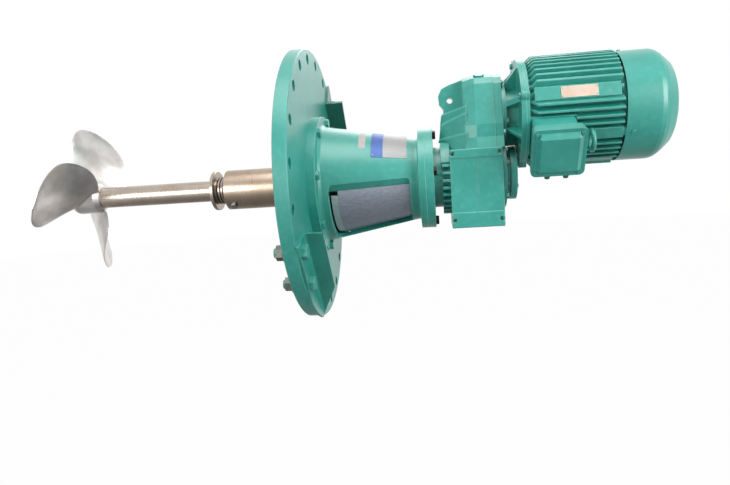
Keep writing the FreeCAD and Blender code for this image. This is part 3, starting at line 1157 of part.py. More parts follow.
# Stator core, end windings, rotor and motor shaft
STACK_END = STACK_START + STACK_LENGTH
STATOR_BORE = ROTOR_DIA + 2 * AIR_GAP
save("stator_core", tube(STACK_START, STACK_END, FRAME_BORE - 2 * FIT, STATOR_BORE, z=MOTOR_Z))
OVERHANG = 21.0
coil_in = STATOR_BORE / 2 + 5
coil_out = FRAME_BORE / 2 - 10
coils = []
for x0, x1 in ((STACK_START - OVERHANG, STACK_START), (STACK_END, STACK_END + OVERHANG)):
    coils.append(tube(x0, x1, 2 * coil_out, 2 * coil_in, z=MOTOR_Z))
save("stator_windings", coils)
ROTOR_BORE = 48.0
save("rotor_core", tube(STACK_START, STACK_END, ROTOR_DIA, ROTOR_BORE + 2 * FIT, z=MOTOR_Z))
PINION_SEAT = 24.0
FAN_SEAT = 30.0
FAN_X = COWL_START + 26.0
FAN_LENGTH = 38.0
WHEEL_END = WHEEL_X + WIDTH_IN
FAN_END = FAN_X + FAN_LENGTH + 4
shaft_radius = MOTOR_SHAFT_DIA / 2
seat_radius = MOTOR_BEARING[0] / 2
seat_length = MOTOR_BEARING[2]
motor_shaft = turned([
    (WHEEL_X - 1, 0), (WHEEL_X - 1, PINION_SEAT / 2), (WHEEL_END + 2, PINION_SEAT / 2),
    (WHEEL_END + 2, shaft_radius), (MOTOR_BEARING_X, shaft_radius), (MOTOR_BEARING_X, seat_radius),
    (MOTOR_BEARING_X + seat_length, seat_radius), (MOTOR_BEARING_X + seat_length, ROTOR_BORE / 2),
    (FAN_BEARING_X, ROTOR_BORE / 2), (FAN_BEARING_X, seat_radius), (FAN_BEARING_X + seat_length, seat_radius),
    (FAN_BEARING_X + seat_length, FAN_SEAT / 2), (FAN_END, FAN_SEAT / 2), (FAN_END, 0),
], MOTOR_Z)
save("motor_shaft", motor_shaft)
MESH_TURN = 180.0 / TEETH_MOTOR
pinion_bore = PINION_SEAT + 2 * FIT
mesh = MESH_TURN - 90.0
motor_pinion = gear(MODULE_IN, TEETH_MOTOR, WHEEL_X - 1, WHEEL_END + 1, pinion_bore, MOTOR_Z, mesh)
save("motor_pinion", motor_pinion)
fan_hub = tube(FAN_X, FAN_X + FAN_LENGTH, FAN_SEAT + 22, FAN_SEAT + 2 * FIT, z=MOTOR_Z)
fan_plate = tube(FAN_X, FAN_X + 4, FAN_DIA - 14, FAN_SEAT + 4, z=MOTOR_Z)
fan_blade = box(FAN_X + 2, FAN_X + FAN_LENGTH, -FAN_DIA / 2, -FAN_SEAT / 2 - 8, MOTOR_Z - 1.5, MOTOR_Z + 1.5)
fan = fuse_all([fan_hub, fan_plate] + ring_of(fan_blade, FAN_BLADES, 0.0, MOTOR_Z))
save("cooling_fan", fan)

# Fan-end shield: spigot in the frame, three lugs for the cowl
REAR_SPIGOT = FRAME_END - 14.0
SHIELD_WALL = 10.0
LUG_END = COWL_START + 28.0
rear = fuse_all([
    rod(REAR_SPIGOT, FRAME_END, FRAME_BORE - 2 * FIT, z=MOTOR_Z),
    rod(FRAME_END, FRAME_END + SHIELD_WALL, CORE_DIA - 4, z=MOTOR_Z),
    rod(FRAME_END, FAN_BEARING_X + MOTOR_BEARING[2] + 1, MOTOR_BEARING[1] + 16, z=MOTOR_Z),
])
COWL_SCREWS = 3
cowl_lug = box(
    FRAME_END, LUG_END, -COWL_DIA / 2 + COWL_WALL + FIT, -CORE_R + 12, MOTOR_Z - 9, MOTOR_Z + 9
)
inner_cowl = rod(FRAME_END, LUG_END, COWL_DIA - 2 * COWL_WALL - 2 * FIT, z=MOTOR_Z)
lug_set = [one.common(inner_cowl) for one in ring_of(cowl_lug, COWL_SCREWS, MOTOR_CLOCK, MOTOR_Z)]
rear = fuse_all([rear] + lug_set)
COWL_SCREW_X = COWL_START + 16.0
SMALL_SCREW = 5.0


def radial_hole(dia, depth, x, radius, angle, z):
    hole = Part.makeCylinder(dia / 2, depth, Vector(x, -radius - 1, z), Vector(0, 1, 0))
    return turn(hole, angle, z)


screw_angles = [MOTOR_CLOCK + 360.0 * k / COWL_SCREWS for k in range(COWL_SCREWS)]
cowl_hole = radial_hole(SMALL_SCREW + 2 * FIT, 14, COWL_SCREW_X, COWL_DIA / 2, 0.0, MOTOR_Z)
cowl_holes = [turn(cowl_hole, a, MOTOR_Z) for a in screw_angles]
rear = rear.cut([
    tube(REAR_SPIGOT - 1, FRAME_END - 2, FRAME_BORE - 16, MOTOR_BEARING[1] + 16, z=MOTOR_Z),
    rod(REAR_SPIGOT - 1, FAN_BEARING_X + 1, MOTOR_BEARING[0] + 16, z=MOTOR_Z),
    rod(FAN_BEARING_X, FAN_BEARING_X + MOTOR_BEARING[2], MOTOR_BEARING[1], z=MOTOR_Z),
    rod(FAN_BEARING_X, LUG_END + 1, MOTOR_BEARING[0] + 4, z=MOTOR_Z),
] + cowl_holes)
save("fan_end_shield", rear)

# Fan cowl: thin steel shell, straight then tapering, with a slotted end
COWL_R = COWL_DIA / 2
END_R = COWL_END_DIA / 2
STRAIGHT_END = COWL_START + COWL_STRAIGHT
DROP = COWL_R - END_R
RUN_OUT = COWL_END - STRAIGHT_END
cowl = turned([
    (COWL_START, COWL_R - COWL_WALL), (COWL_START, COWL_R), (STRAIGHT_END, COWL_R),
    (STRAIGHT_END + RUN_OUT * 0.22, COWL_R - DROP * 0.07),
    (STRAIGHT_END + RUN_OUT * 0.44, COWL_R - DROP * 0.24),
    (STRAIGHT_END + RUN_OUT * 0.88, COWL_R - DROP * 0.74), (COWL_END - 1, COWL_R - DROP * 0.96),
    (COWL_END, END_R - 1), (COWL_END, 0),
    (COWL_END - COWL_WALL, 0), (COWL_END - COWL_WALL, END_R - 1.5),
    (STRAIGHT_END + RUN_OUT * 0.85, COWL_R - DROP * 0.74 - COWL_WALL),
    (STRAIGHT_END + RUN_OUT * 0.40, COWL_R - DROP * 0.24 - COWL_WALL),
    (STRAIGHT_END + RUN_OUT * 0.18, COWL_R - DROP * 0.07 - COWL_WALL),
    (STRAIGHT_END - 1, COWL_R - COWL_WALL),
], MOTOR_Z)
SLOT_WIDTH = 7.0
slots = []
for inner, outer, count in ((12.0, 34.0, 12), (40.0, 62.0, 24), (67.0, 84.0, 36)):
    slot = box(COWL_END - 6, COWL_END + 1, -outer, -inner, MOTOR_Z - SLOT_WIDTH / 2, MOTOR_Z + SLOT_WIDTH / 2)
    if inner < 20:
        slot = box(COWL_END - 6, COWL_END + 1, -outer, -inner - 4, MOTOR_Z - 2.5, MOTOR_Z + 2.5)
    slots += ring_of(slot, count, 0.0, MOTOR_Z)
cowl = cowl.cut(slots + cowl_holes)
save("fan_cowl", cowl)

# Terminal box on the motor's own top: neck, base, cover, block, glands
BASE_LOW = 176.0
COVER_LOW = 194.0
COVER_RIM = 9.0
COVER_SCREW = 18.0
LIP = 6.0
CORNER = 13.0
hx = BOX_SIZE_X / 2
hy = BOX_SIZE_Y / 2


def rounded_block(half_x, half_y, z0, z1, radius, mid_x=BOX_MID_X):
    """Block with rounded upright corners, heights counted from the motor axis."""
    solid = box(mid_x - half_x, mid_x + half_x, -half_y, half_y, MOTOR_Z + z0, MOTOR_Z + z1)
    return solid.makeFillet(radius, [e for e in solid.Edges if abs(e.Length - (z1 - z0)) < 0.01])


neck_half = PERCH_HALF
neck_x = (PERCH_X1 - PERCH_X0) / 2
neck_mid = (PERCH_X1 + PERCH_X0) / 2
WALL = 5.0
neck = rounded_block(neck_x - 1, neck_half - 1, PERCH + FIT, BASE_LOW + 4, 9.0, neck_mid)
base = rounded_block(hx - 2, hy - 2, BASE_LOW, COVER_LOW, CORNER - 2)
terminal_box = neck.fuse(base)
room_x = neck_x - 1 - WALL
room_y = neck_half - 1 - WALL
terminal_box = terminal_box.cut(rounded_block(room_x, room_y, PERCH - 1, BASE_LOW + 10, 5.0, neck_mid))
base_room = rounded_block(hx - 2 - WALL, hy - 2 - WALL, BASE_LOW + WALL, COVER_LOW + 1, CORNER - 5)
terminal_box = terminal_box.cut(base_room)
tray = rounded_block(room_x + 2, room_y + 2, BASE_LOW - 2, BASE_LOW + WALL, 5.0, neck_mid)
tray = tray.cut(Part.makeCylinder(20, 30, Vector(BOX_MID_X, 0, MOTOR_Z + BASE_LOW - 10), Vector(0, 0, 1)))
terminal_box = terminal_box.fuse(tray)
GLAND_DIA = 16.0
GLAND_STEM = 12.0
GLAND_Z = (BASE_LOW + COVER_LOW) / 2
gland_x = (BOX_MID_X - 18.0, BOX_MID_X + 23.0)
gland_holes = [
    Part.makeCylinder(GLAND_STEM / 2 + FIT, 20, Vector(x, -hy + 10, MOTOR_Z + GLAND_Z), Vector(0, -1, 0))
    for x in gland_x
]
terminal_box = terminal_box.cut(gland_holes)
SCREW_IN = 11.0
spot_x = hx - SCREW_IN
spot_y = hy - SCREW_IN
cover_screw_spots = [(BOX_MID_X + x, y) for x in (-spot_x, spot_x) for y in (-spot_y, spot_y)]
posts = [
    Part.makeCylinder(6.5, COVER_LOW - BASE_LOW - 1, Vector(x, y, MOTOR_Z + BASE_LOW + 1), Vector(0, 0, 1))
    for x, y in cover_screw_spots
]
RIM_TOP = COVER_LOW + COVER_RIM
terminal_box = terminal_box.multiFuse(posts)
screw_foot = MOTOR_Z + RIM_TOP - COVER_SCREW - 0.5
screw_holes = [
    Part.makeCylinder(SMALL_SCREW / 2 + FIT, 40, Vector(x, y, screw_foot), Vector(0, 0, 1))
    for x, y in cover_screw_spots
]
terminal_box = terminal_box.cut(screw_holes)
save("terminal_box", motor_frame(terminal_box))
lid = rounded_block(hx, hy, COVER_LOW + FIT, RIM_TOP, CORNER)
BEVEL = 11.0
raised = rounded_block(hx - 9, hy - 9, RIM_TOP - 1, BOX_HEIGHT, CORNER - 3)
top_edges = [e for e in raised.Edges if abs(e.CenterOfMass.z - MOTOR_Z - BOX_HEIGHT) < 0.01]
raised = raised.makeChamfer(BEVEL - 1.5, top_edges)
lid = lid.fuse(raised)
lid = lid.cut(rounded_block(hx - 8, hy - 8, COVER_LOW - 1, RIM_TOP - 4, CORNER - 6))
lid = lid.cut(screw_holes + [
    Part.makeCylinder(6.5, 20, Vector(x, y, MOTOR_Z + RIM_TOP), Vector(0, 0, 1)) for x, y in cover_screw_spots
])
pillars = [
    Part.makeCylinder(6.0, COVER_RIM - 1, Vector(x, y, MOTOR_Z + COVER_LOW + FIT), Vector(0, 0, 1))
    for x, y in cover_screw_spots
]
lid = lid.multiFuse([p.cut(Part.makeCompound(screw_holes)) for p in pillars])
save("terminal_box_cover", motor_frame(lid))
screw_up = bolt(SMALL_SCREW, COVER_SCREW)
screw_up.rotate(Vector(0, 0, 0), Vector(0, 1, 0), -90)
small_screws = []
for x, y in cover_screw_spots:
    one = screw_up.copy()
    one.translate(Vector(x, y, MOTOR_Z + RIM_TOP))
    small_screws.append(motor_frame(one))
small_screws += [
    radial_bolt(SMALL_SCREW, 12.0, COWL_SCREW_X, COWL_DIA / 2 + FIT, a, MOTOR_Z) for a in screw_angles
]
save("motor_small_screws", small_screws)
BLOCK_W, BLOCK_H = 62.0, 38.0
BLOCK_D = 8.0
block_z = MOTOR_Z + BASE_LOW + WALL
block_x = (BOX_MID_X - BLOCK_W / 2, BOX_MID_X + BLOCK_W / 2)
term = box(*block_x, -BLOCK_H / 2, BLOCK_H / 2, block_z, block_z + BLOCK_D)
studs = [
    Part.makeCylinder(3, 7, Vector(BOX_MID_X + dx, dy, block_z + BLOCK_D - 1), Vector(0, 0, 1))
    for dx in (-20, 0, 20) for dy in (-10, 10)
]
save("terminal_block", motor_frame(fuse_all([term] + studs)))
glands = []
for x in gland_x:
    stem = Part.makeCylinder(GLAND_STEM / 2, 24, Vector(x, -hy + 9, MOTOR_Z + GLAND_Z), Vector(0, -1, 0))
    nut_body = hexagon(0, 10, GLAND_DIA)
    nut_body.rotate(Vector(0, 0, 0), Vector(0, 0, 1), -90)
    nut_body.translate(Vector(x, -hy + 2, MOTOR_Z + GLAND_Z))
    glands.append(motor_frame(stem.fuse(nut_body).removeSplitter()))
save("cable_glands", glands)

# Eye bolt on the motor's rail
EYE_RING = 21.0
EYE_SECTION = 11.0
eye_base = MOTOR_Z + RAIL_TOP
eye_centre = eye_base + EYE_RING + EYE_SECTION / 2 + 1.0
eye = Part.makeTorus(EYE_RING, EYE_SECTION / 2, Vector(EYE_X, 0, eye_centre), Vector(1, 0, 0))
eye = eye.fuse(Part.makeCone(14, 8, 6, Vector(EYE_X, 0, eye_base), Vector(0, 0, 1)))
eye = eye.fuse(Part.makeCylinder(EYE_SHANK / 2, 16, Vector(EYE_X, 0, eye_base - 16), Vector(0, 0, 1)))
save("eye_bolt", motor_frame(eye.removeSplitter()))

# Motor nameplate on the pad beside the terminal box
TAG_X = FRAME_START + 69.0
TAG_LENGTH = 80.0
motor_plate = box(TAG_X, TAG_X + TAG_LENGTH, -PAD_R - 1.0, -PAD_R - FIT, MOTOR_Z - 13, MOTOR_Z + 13)
save("motor_nameplate", turn(motor_plate, MOTOR_CLOCK + 45, MOTOR_Z))
print("shut-off travel", TRAVEL, "motor axis", MOTOR_Z)
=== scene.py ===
# %% [markdown]
# A side-entry mixer is bolted to the side of a storage tank. Its propeller, shaft and shut-off sleeve stand
# in the liquid and are stainless steel. The big flange and nearly everything on the motor's side of it are
# painted turquoise. The machine itself comes from the engineering model, already at its real place and size,
# so the first step is to load it and to measure it.

# %% Load the machine
import math
import bmesh
import bpy
from mathutils import Matrix, Vector


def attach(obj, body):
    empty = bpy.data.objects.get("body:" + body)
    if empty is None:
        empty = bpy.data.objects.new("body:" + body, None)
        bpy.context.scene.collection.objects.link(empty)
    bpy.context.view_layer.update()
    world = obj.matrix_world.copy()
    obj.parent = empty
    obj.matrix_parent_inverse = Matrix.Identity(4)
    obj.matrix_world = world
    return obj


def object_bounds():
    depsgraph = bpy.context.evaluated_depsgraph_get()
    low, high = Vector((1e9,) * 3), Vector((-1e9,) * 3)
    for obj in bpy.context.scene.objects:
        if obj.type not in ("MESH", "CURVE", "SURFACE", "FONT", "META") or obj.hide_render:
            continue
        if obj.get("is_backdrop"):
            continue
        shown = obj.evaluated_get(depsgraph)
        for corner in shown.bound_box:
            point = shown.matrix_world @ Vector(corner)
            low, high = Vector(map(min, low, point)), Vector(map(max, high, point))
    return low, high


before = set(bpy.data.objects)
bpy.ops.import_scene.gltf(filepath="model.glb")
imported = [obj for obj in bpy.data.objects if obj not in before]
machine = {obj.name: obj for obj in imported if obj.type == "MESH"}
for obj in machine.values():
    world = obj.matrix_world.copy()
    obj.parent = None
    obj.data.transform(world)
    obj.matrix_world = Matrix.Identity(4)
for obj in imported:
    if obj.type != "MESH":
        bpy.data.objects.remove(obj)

solid_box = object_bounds()
MM = 0.001
print("length of the machine", round(solid_box[1].x - solid_box[0].x, 3), "m")

# %% [markdown]
# The camera stands where the photographer stood. Its place and lens were worked out from the circles of the
# flange, the shaft and the motor, so the machine lands on the same spot of the picture. A camera looks along
# its own -Z, with +Y up, so its turn is built from the viewing direction, then rolled a little. The focal
# length was found in pixels of the photograph, and the width of the sensor turns it into millimetres.

# %% Camera
EYE = Vector((335.0, -1536.4, 7.4)) * MM
YAW, DOWN, ROLL = math.radians(-7.263), math.radians(6.027), math.radians(-3.615)
PHOTO_WIDTH, FOCAL_PIXELS = 730, 602.1
SENSOR_WIDTH = 36.0
look = Vector((math.sin(YAW) * math.cos(DOWN), math.cos(YAW) * math.cos(DOWN), -math.sin(DOWN)))
right = Vector((math.cos(YAW), -math.sin(YAW), 0))
up = right.cross(look)
rolled_right = right * math.cos(ROLL) + up * math.sin(ROLL)
rolled_up = up * math.cos(ROLL) - right * math.sin(ROLL)
turn = Matrix((rolled_right, rolled_up, -look)).transposed().to_4x4()
eye_data = bpy.data.cameras.new("photographer")
eye_data.sensor_width = SENSOR_WIDTH
eye_data.lens = SENSOR_WIDTH * FOCAL_PIXELS / PHOTO_WIDTH
eye_data.clip_end = 60.0
camera = bpy.data.objects.new("photographer", eye_data)
camera.matrix_world = Matrix.Translation(EYE) @ turn
bpy.context.scene.collection.objects.link(camera)
bpy.context.scene.camera = camera
print("lens", round(eye_data.lens, 2), "mm")

# %% [markdown]
# A material in Blender is a small network of nodes. One helper fills a node's inputs with plain values or
# joins them to the nodes before it, and another adds a node and fills it. Colours are picked as on a screen,
# so a third turns a hex value into the linear numbers that the renderer adds up. Patterns are laid out on
# Object coordinates, which are metres on the machine, so a pattern can be given its real size.


# %% Helpers for materials
def linear(hex_value):
    """Screen colour such as "4CA898" as linear red, green, blue and alpha."""
    parts = [int(hex_value[i:i + 2], 16) / 255 for i in (0, 2, 4)]
    flat = [c / 12.92 if c <= 0.04045 else ((c + 0.055) / 1.055) ** 2.4 for c in parts]
    return (*flat, 1.0)


def fill(tree, node, inputs):
    """Give a node's inputs plain values, or join them to (node, output)."""
    for name, value in inputs.items():
        if isinstance(value, tuple) and isinstance(value[0], bpy.types.Node):
            tree.links.new(value[0].outputs[value[1]], node.inputs[name])
        else:
            node.inputs[name].default_value = value


def add(tree, kind, inputs=None, **settings):
    """Add one node with its settings, and fill its inputs."""
    node = tree.nodes.new(kind)
    for name, value in settings.items():
        setattr(node, name, value)
    fill(tree, node, inputs or {})
    return node


def new_finish(name):
    """Empty material, with its node tree, the shader at its end and the coordinates for its patterns."""
    finish = bpy.data.materials.new(name)
    finish.use_nodes = True
    tree = finish.node_tree
    tree.nodes.clear()
    shader = add(tree, "ShaderNodeBsdfPrincipled")
    add(tree, "ShaderNodeOutputMaterial", {"Surface": (shader, "BSDF")})
    where = (add(tree, "ShaderNodeTexCoord"), "Object")
    return finish, tree, shader, where


print("4CA898 in linear numbers", [round(part, 3) for part in linear("4CA898")])

# %% [markdown]
# No real edge is sharp. Modelling a small round on every edge of a casting would take thousands of faces, so
# the Bevel node bends the light over the last millimetres before an edge instead. Where that bent normal
# leaves the true one there is an edge. The bent normal catches more light there, and the paint is made paler,
# partly as rubbed paint and partly as a painted highlight.

# %% Rounded edges
EDGE_STARTS, EDGE_FULL = 0.99, 0.80      # cosine of the angle between the bent normal and the true one


def edge_round(tree, width_mm):
    """The rounded normal near edges, and a mask that is 1 on them."""
    rounded = add(tree, "ShaderNodeBevel", {"Radius": width_mm * MM}, samples=6)
    true_face = add(tree, "ShaderNodeNewGeometry")
    alike = add(tree, "ShaderNodeVectorMath", {
        0: (rounded, "Normal"), 1: (true_face, "Normal"),
    }, operation="DOT_PRODUCT")
    on_edge = add(tree, "ShaderNodeMapRange", {
        "Value": (alike, "Value"), "From Min": EDGE_FULL, "From Max": EDGE_STARTS,
        "To Min": 1.0, "To Max": 0.0,
    })
    return rounded, on_edge


print("an edge starts where the normal is bent by", round(math.degrees(math.acos(EDGE_STARTS)), 1), "degrees")

# %% [markdown]
# The machine is sprayed with a turquoise machine enamel, a semi-gloss oil paint. Sprayed paint dries with a
# faint orange peel, waves a few millimetres long, and it follows the skin under it: sand castings stay
# grainy, machined plate is nearly smooth and pressed sheet is smoothest. That is how the eye tells the
# gearbox from the fan's cowl, though both have one colour. The colour is built up in layers: two close
# shades of paint, then dust, then a paler edge, which is partly rubbed paint and partly a painted highlight.

# %% Turquoise enamel
DRIFT_MM, DUST_MM, PEEL_MM = 90, 14, 5
MOST_DUST = 0.14
EDGE_RUB_AND_HIGHLIGHT = 0.7


def enamel(name, hue, grain_mm, grain_height, peel_height, rough, edge_mm):
    """Semi-gloss enamel over a skin whose grain has the given size along X, Y and Z; paler on its edges, as
    rubbed paint and painted highlight.
    """
    finish, tree, shader, where = new_finish(name)
    drift = add(tree, "ShaderNodeTexNoise", {"Vector": where, "Scale": 1 / (DRIFT_MM * MM), "Detail": 3.0})
    second = add(tree, "ShaderNodeMapRange", {"Value": (drift, "Fac"), "From Min": 0.35, "From Max": 0.7})
    dust = add(tree, "ShaderNodeTexNoise", {"Vector": where, "Scale": 1 / (DUST_MM * MM), "Detail": 5.0})
    dusty = add(tree, "ShaderNodeMapRange", {
        "Value": (dust, "Fac"), "From Min": 0.5, "From Max": 0.85, "To Max": MOST_DUST,
    })
    rounded, on_edge = edge_round(tree, edge_mm)
    # The edges take the paler shade: partly rubbed paint, partly a painted highlight for the light they catch
    rubbed_and_highlit = add(tree, "ShaderNodeMath", {0: (on_edge, "Result"), 1: EDGE_RUB_AND_HIGHLIGHT}, operation="MULTIPLY")
    colour = linear(hue[0])
    layers = (((second, "Result"), hue[1]), ((dusty, "Result"), hue[2]), ((rubbed_and_highlit, "Value"), hue[2]))
    for amount, shade in layers:
        layer = add(tree, "ShaderNodeMix", {
            "Factor": amount, "A": colour, "B": linear(shade),
        }, data_type="RGBA")
        colour = (layer, "Result")
    peel = add(tree, "ShaderNodeTexNoise", {"Vector": where, "Scale": 1 / (PEEL_MM * MM), "Detail": 1.0})
    squeeze = add(tree, "ShaderNodeMapping", {
        "Vector": where, "Scale": [1 / (size * MM) for size in grain_mm],
    })
    grain = add(tree, "ShaderNodeTexNoise", {
        "Vector": (squeeze, "Vector"), "Scale": 1.0, "Detail": 4.0, "Roughness": 0.6,
    })
    peel_bump = add(tree, "ShaderNodeBump", {
        "Height": (peel, "Fac"), "Strength": 1.0, "Distance": peel_height * MM, "Normal": (rounded, "Normal"),
    })
    grain_bump = add(tree, "ShaderNodeBump", {
        "Height": (grain, "Fac"), "Strength": 1.0, "Distance": grain_height * MM,
        "Normal": (peel_bump, "Normal"),
    })
    gloss = add(tree, "ShaderNodeMapRange", {
        "Value": (dust, "Fac"), "From Min": 0.3, "From Max": 0.8,
        "To Min": rough - 0.05, "To Max": rough + 0.12,
    })
    fill(tree, shader, {
        "Base Color": colour, "Roughness": (gloss, "Result"), "Normal": (grain_bump, "Normal"),
        "IOR": 1.55, "Coat Weight": 0.7, "Coat Roughness": 0.32,
    })
    return finish


# Each hue holds two close shades of the paint, and a paler one that dust shows and that the edges show,
# partly as rubbed paint and partly as painted highlight
TURQUOISE = ("1E9082", "2A9D90", "8FD8CD")
# A darker copy of the turquoise: painted shade for the far angle iron, which stands in shade
TURQUOISE_PAINTED_SHADE = ("17604F", "1E6B5C", "62AEA0")
# The grain of moulding sand breaks up the highlights of the gearbox and the motor's frame
enamel_on_casting = enamel(
    "enamel_on_sand_casting", TURQUOISE, grain_mm=(3.0, 3.0, 3.0), grain_height=0.10, peel_height=0.05,
    rough=0.44, edge_mm=2.6,
)
# On machined plate little but the orange peel shows, so its highlights are even
enamel_on_plate = enamel(
    "enamel_on_machined_plate", TURQUOISE, grain_mm=(1.2, 1.2, 1.2), grain_height=0.02, peel_height=0.04,
    rough=0.42, edge_mm=1.4,
)
# Pressed sheet has the finest grain and the most gloss of the painted parts
enamel_on_sheet = enamel(
    "enamel_on_pressed_sheet", TURQUOISE, grain_mm=(1.0, 1.0, 1.0), grain_height=0.015, peel_height=0.05,
    rough=0.40, edge_mm=1.2,
)
# The far angle iron reads a shade deeper in the photograph because it stands in shade; its darker enamel
# is painted shade
enamel_painted_shade_on_far_iron = enamel(
    "enamel_on_plate_painted_shade", TURQUOISE_PAINTED_SHADE, grain_mm=(1.2, 1.2, 1.2), grain_height=0.02, peel_height=0.04,
    rough=0.42, edge_mm=1.4,
)
# A flame cutter leaves grooves across the edge of a thick plate, and the paint shows them
enamel_on_cut_plate = enamel(
    "enamel_on_flame_cut_plate", TURQUOISE, grain_mm=(60.0, 5.0, 5.0), grain_height=0.16, peel_height=0.05,
    rough=0.44, edge_mm=1.6,
)
print("coats of enamel", len(bpy.data.materials))

# %% [markdown]
# The other finishes have no layers. Their colour wanders between two close shades as one pattern rises and
# falls, and their roughness follows the same pattern or another, because nothing real is one even colour.


# %% Shade and gloss
def shade_and_gloss(tree, shader, hue, shade_from, gloss_from, smooth, rough, shade_low=0.35, gloss_high=0.7):
    """Lead the shader's colour between two shades by one pattern, and its roughness by a pattern too."""
    rise = add(tree, "ShaderNodeMapRange", {"Value": shade_from, "From Min": shade_low, "From Max": 0.7})
    tint = add(tree, "ShaderNodeMix", {
        "Factor": (rise, "Result"), "A": linear(hue[0]), "B": linear(hue[1]),
    }, data_type="RGBA")
    gloss = add(tree, "ShaderNodeMapRange", {
        "Value": gloss_from, "From Min": 0.3, "From Max": gloss_high, "To Min": smooth, "To Max": rough,
    })
    fill(tree, shader, {"Base Color": (tint, "Result"), "Roughness": (gloss, "Result")})


print("shade and gloss ready")

# %% [markdown]
# The wet parts are stainless steel. A lathe leaves fine rings round a turned part, a belt grinder leaves
# short crossing scratches on a cast blade. Both spread a reflection across the scratches, so they are drawn
# as very shallow bumps and as small changes of roughness. They give the eye the soft, slightly streaky shine
# of worked steel in place of a mirror. The real rings are a tenth of a millimetre apart, too fine for the
# picture, so they are drawn about a millimetre apart.

# %% Stainless steel
RING_LENGTH_MM = 60                    # how far a ring runs before it changes
CLOUD_MM = 45
FACET_MM, FACET_HEIGHT = 40, 0.5
BELT_MM, BELT_HEIGHT = (2, 30, 6), 0.002
BELT_TURN = (0.4, 0.5, 0.3)            # radians, so that the scratches follow no axis of the machine


def turned_steel(name, hue, ring_mm, ring_height, rough):
    """Steel turned on a lathe whose axis is X: rings across X."""
    finish, tree, shader, where = new_finish(name)
    squeeze = add(tree, "ShaderNodeMapping", {
        "Vector": where, "Scale": [1 / (size * MM) for size in (ring_mm, RING_LENGTH_MM, RING_LENGTH_MM)],
    })
    rings = add(tree, "ShaderNodeTexNoise", {"Vector": (squeeze, "Vector"), "Scale": 1.0, "Detail": 3.0})
    cloud = add(tree, "ShaderNodeTexNoise", {"Vector": where, "Scale": 1 / (CLOUD_MM * MM), "Detail": 3.0})
    shade_and_gloss(tree, shader, hue, (cloud, "Fac"), (rings, "Fac"), rough - 0.03, rough + 0.05)
    bump = add(tree, "ShaderNodeBump", {
        "Height": (rings, "Fac"), "Strength": 1.0, "Distance": ring_height * MM,
    })
    fill(tree, shader, {"Metallic": 1.0, "Normal": (bump, "Normal")})
    return finish


def ground_steel(name, hue, rough):
    """Cast steel dressed by hand with a belt: soft facets and short scratches."""
    finish, tree, shader, where = new_finish(name)
    squeeze = add(tree, "ShaderNodeMapping", {
        "Vector": where, "Rotation": BELT_TURN, "Scale": [1 / (size * MM) for size in BELT_MM],
    })
    belt = add(tree, "ShaderNodeTexNoise", {"Vector": (squeeze, "Vector"), "Scale": 1.0, "Detail": 4.0})
    facet = add(tree, "ShaderNodeTexNoise", {"Vector": where, "Scale": 1 / (FACET_MM * MM), "Detail": 2.0})
    shade_and_gloss(tree, shader, hue, (facet, "Fac"), (belt, "Fac"), rough - 0.02, rough + 0.04)
    wide = add(tree, "ShaderNodeBump", {
        "Height": (facet, "Fac"), "Strength": 1.0, "Distance": FACET_HEIGHT * MM,
    })
    fine = add(tree, "ShaderNodeBump", {
        "Height": (belt, "Fac"), "Strength": 1.0, "Distance": BELT_HEIGHT * MM, "Normal": (wide, "Normal"),
    })
    fill(tree, shader, {"Metallic": 1.0, "Normal": (fine, "Normal")})
    return finish


# The tube is the warmest and darkest of the wet parts, with even streaks round it
steel_tube = turned_steel(
    "turned_stainless_tube", ("B09D8A", "BFAE9D"), ring_mm=1.2, ring_height=0.0015, rough=0.29,
)
# The shaft is ground after turning, which leaves it paler and a little smoother
steel_shaft = turned_steel(
    "ground_stainless_shaft", ("BBAD9F", "C8BCB0"), ring_mm=0.9, ring_height=0.0015, rough=0.28,
)
# The plug and the seal's housing keep deeper tool marks, which break up the highlight
steel_plug = turned_steel(
    "turned_stainless_plug", ("B0A396", "BDB1A5"), ring_mm=0.9, ring_height=0.004, rough=0.28,
)
# The dressed casting is the palest steel, and its soft facets make the highlights swim over the blades
steel_blade = ground_steel("hand_ground_stainless_casting", ("CFCAC6", "E8E6E4"), rough=0.32)
print("stainless steel for tube, shaft, plug and blades")

# %% [markdown]
# Small pieces have finishes of their own. Bare screws are zinc plated or blackened, and the motor's plate is
# satin aluminium. A cloudy pattern a few millimetres wide, with a fine grain over it, keeps even a bolt head
# from being one flat colour.


# %% Small metal pieces and label
def cloudy(name, hue, cloud_mm, rough, metal=0.0, grain_height=0.02, grain_mm=1.5):
    """Plain material whose colour and gloss drift softly, with a fine grain."""
    finish, tree, shader, where = new_finish(name)
    cloud = add(tree, "ShaderNodeTexNoise", {"Vector": where, "Scale": 1 / (cloud_mm * MM), "Detail": 4.0})
    shade_and_gloss(
        tree, shader, hue, (cloud, "Fac"), (cloud, "Fac"), rough - 0.05, rough + 0.08, gloss_high=0.75,
    )
    grain = add(tree, "ShaderNodeTexNoise", {"Vector": where, "Scale": 1 / (grain_mm * MM), "Detail": 3.0})
    bump = add(tree, "ShaderNodeBump", {
        "Height": (grain, "Fac"), "Strength": 1.0, "Distance": grain_height * MM,
    })
    fill(tree, shader, {"Metallic": metal, "Normal": (bump, "Normal")})
    return finish


# Zinc plating is a bright grey skin with a cloudy shine
zinc = cloudy("zinc_plated_steel", ("9A9C98", "B5B5AE"), cloud_mm=6, rough=0.34, metal=1.0)
# Black oxide is a thin dark skin that shines softly
black_oxide = cloudy("black_oxide_steel", ("16171A", "26272A"), cloud_mm=6, rough=0.42, metal=0.6)
# Lacquer over satin aluminium hides most of the metal's shine, so the plate reads as a pale warm sheet
plate_metal = cloudy("blank_aluminium_plate", ("CFB8A6", "DAC7B7"), cloud_mm=20, rough=0.50, metal=0.25)
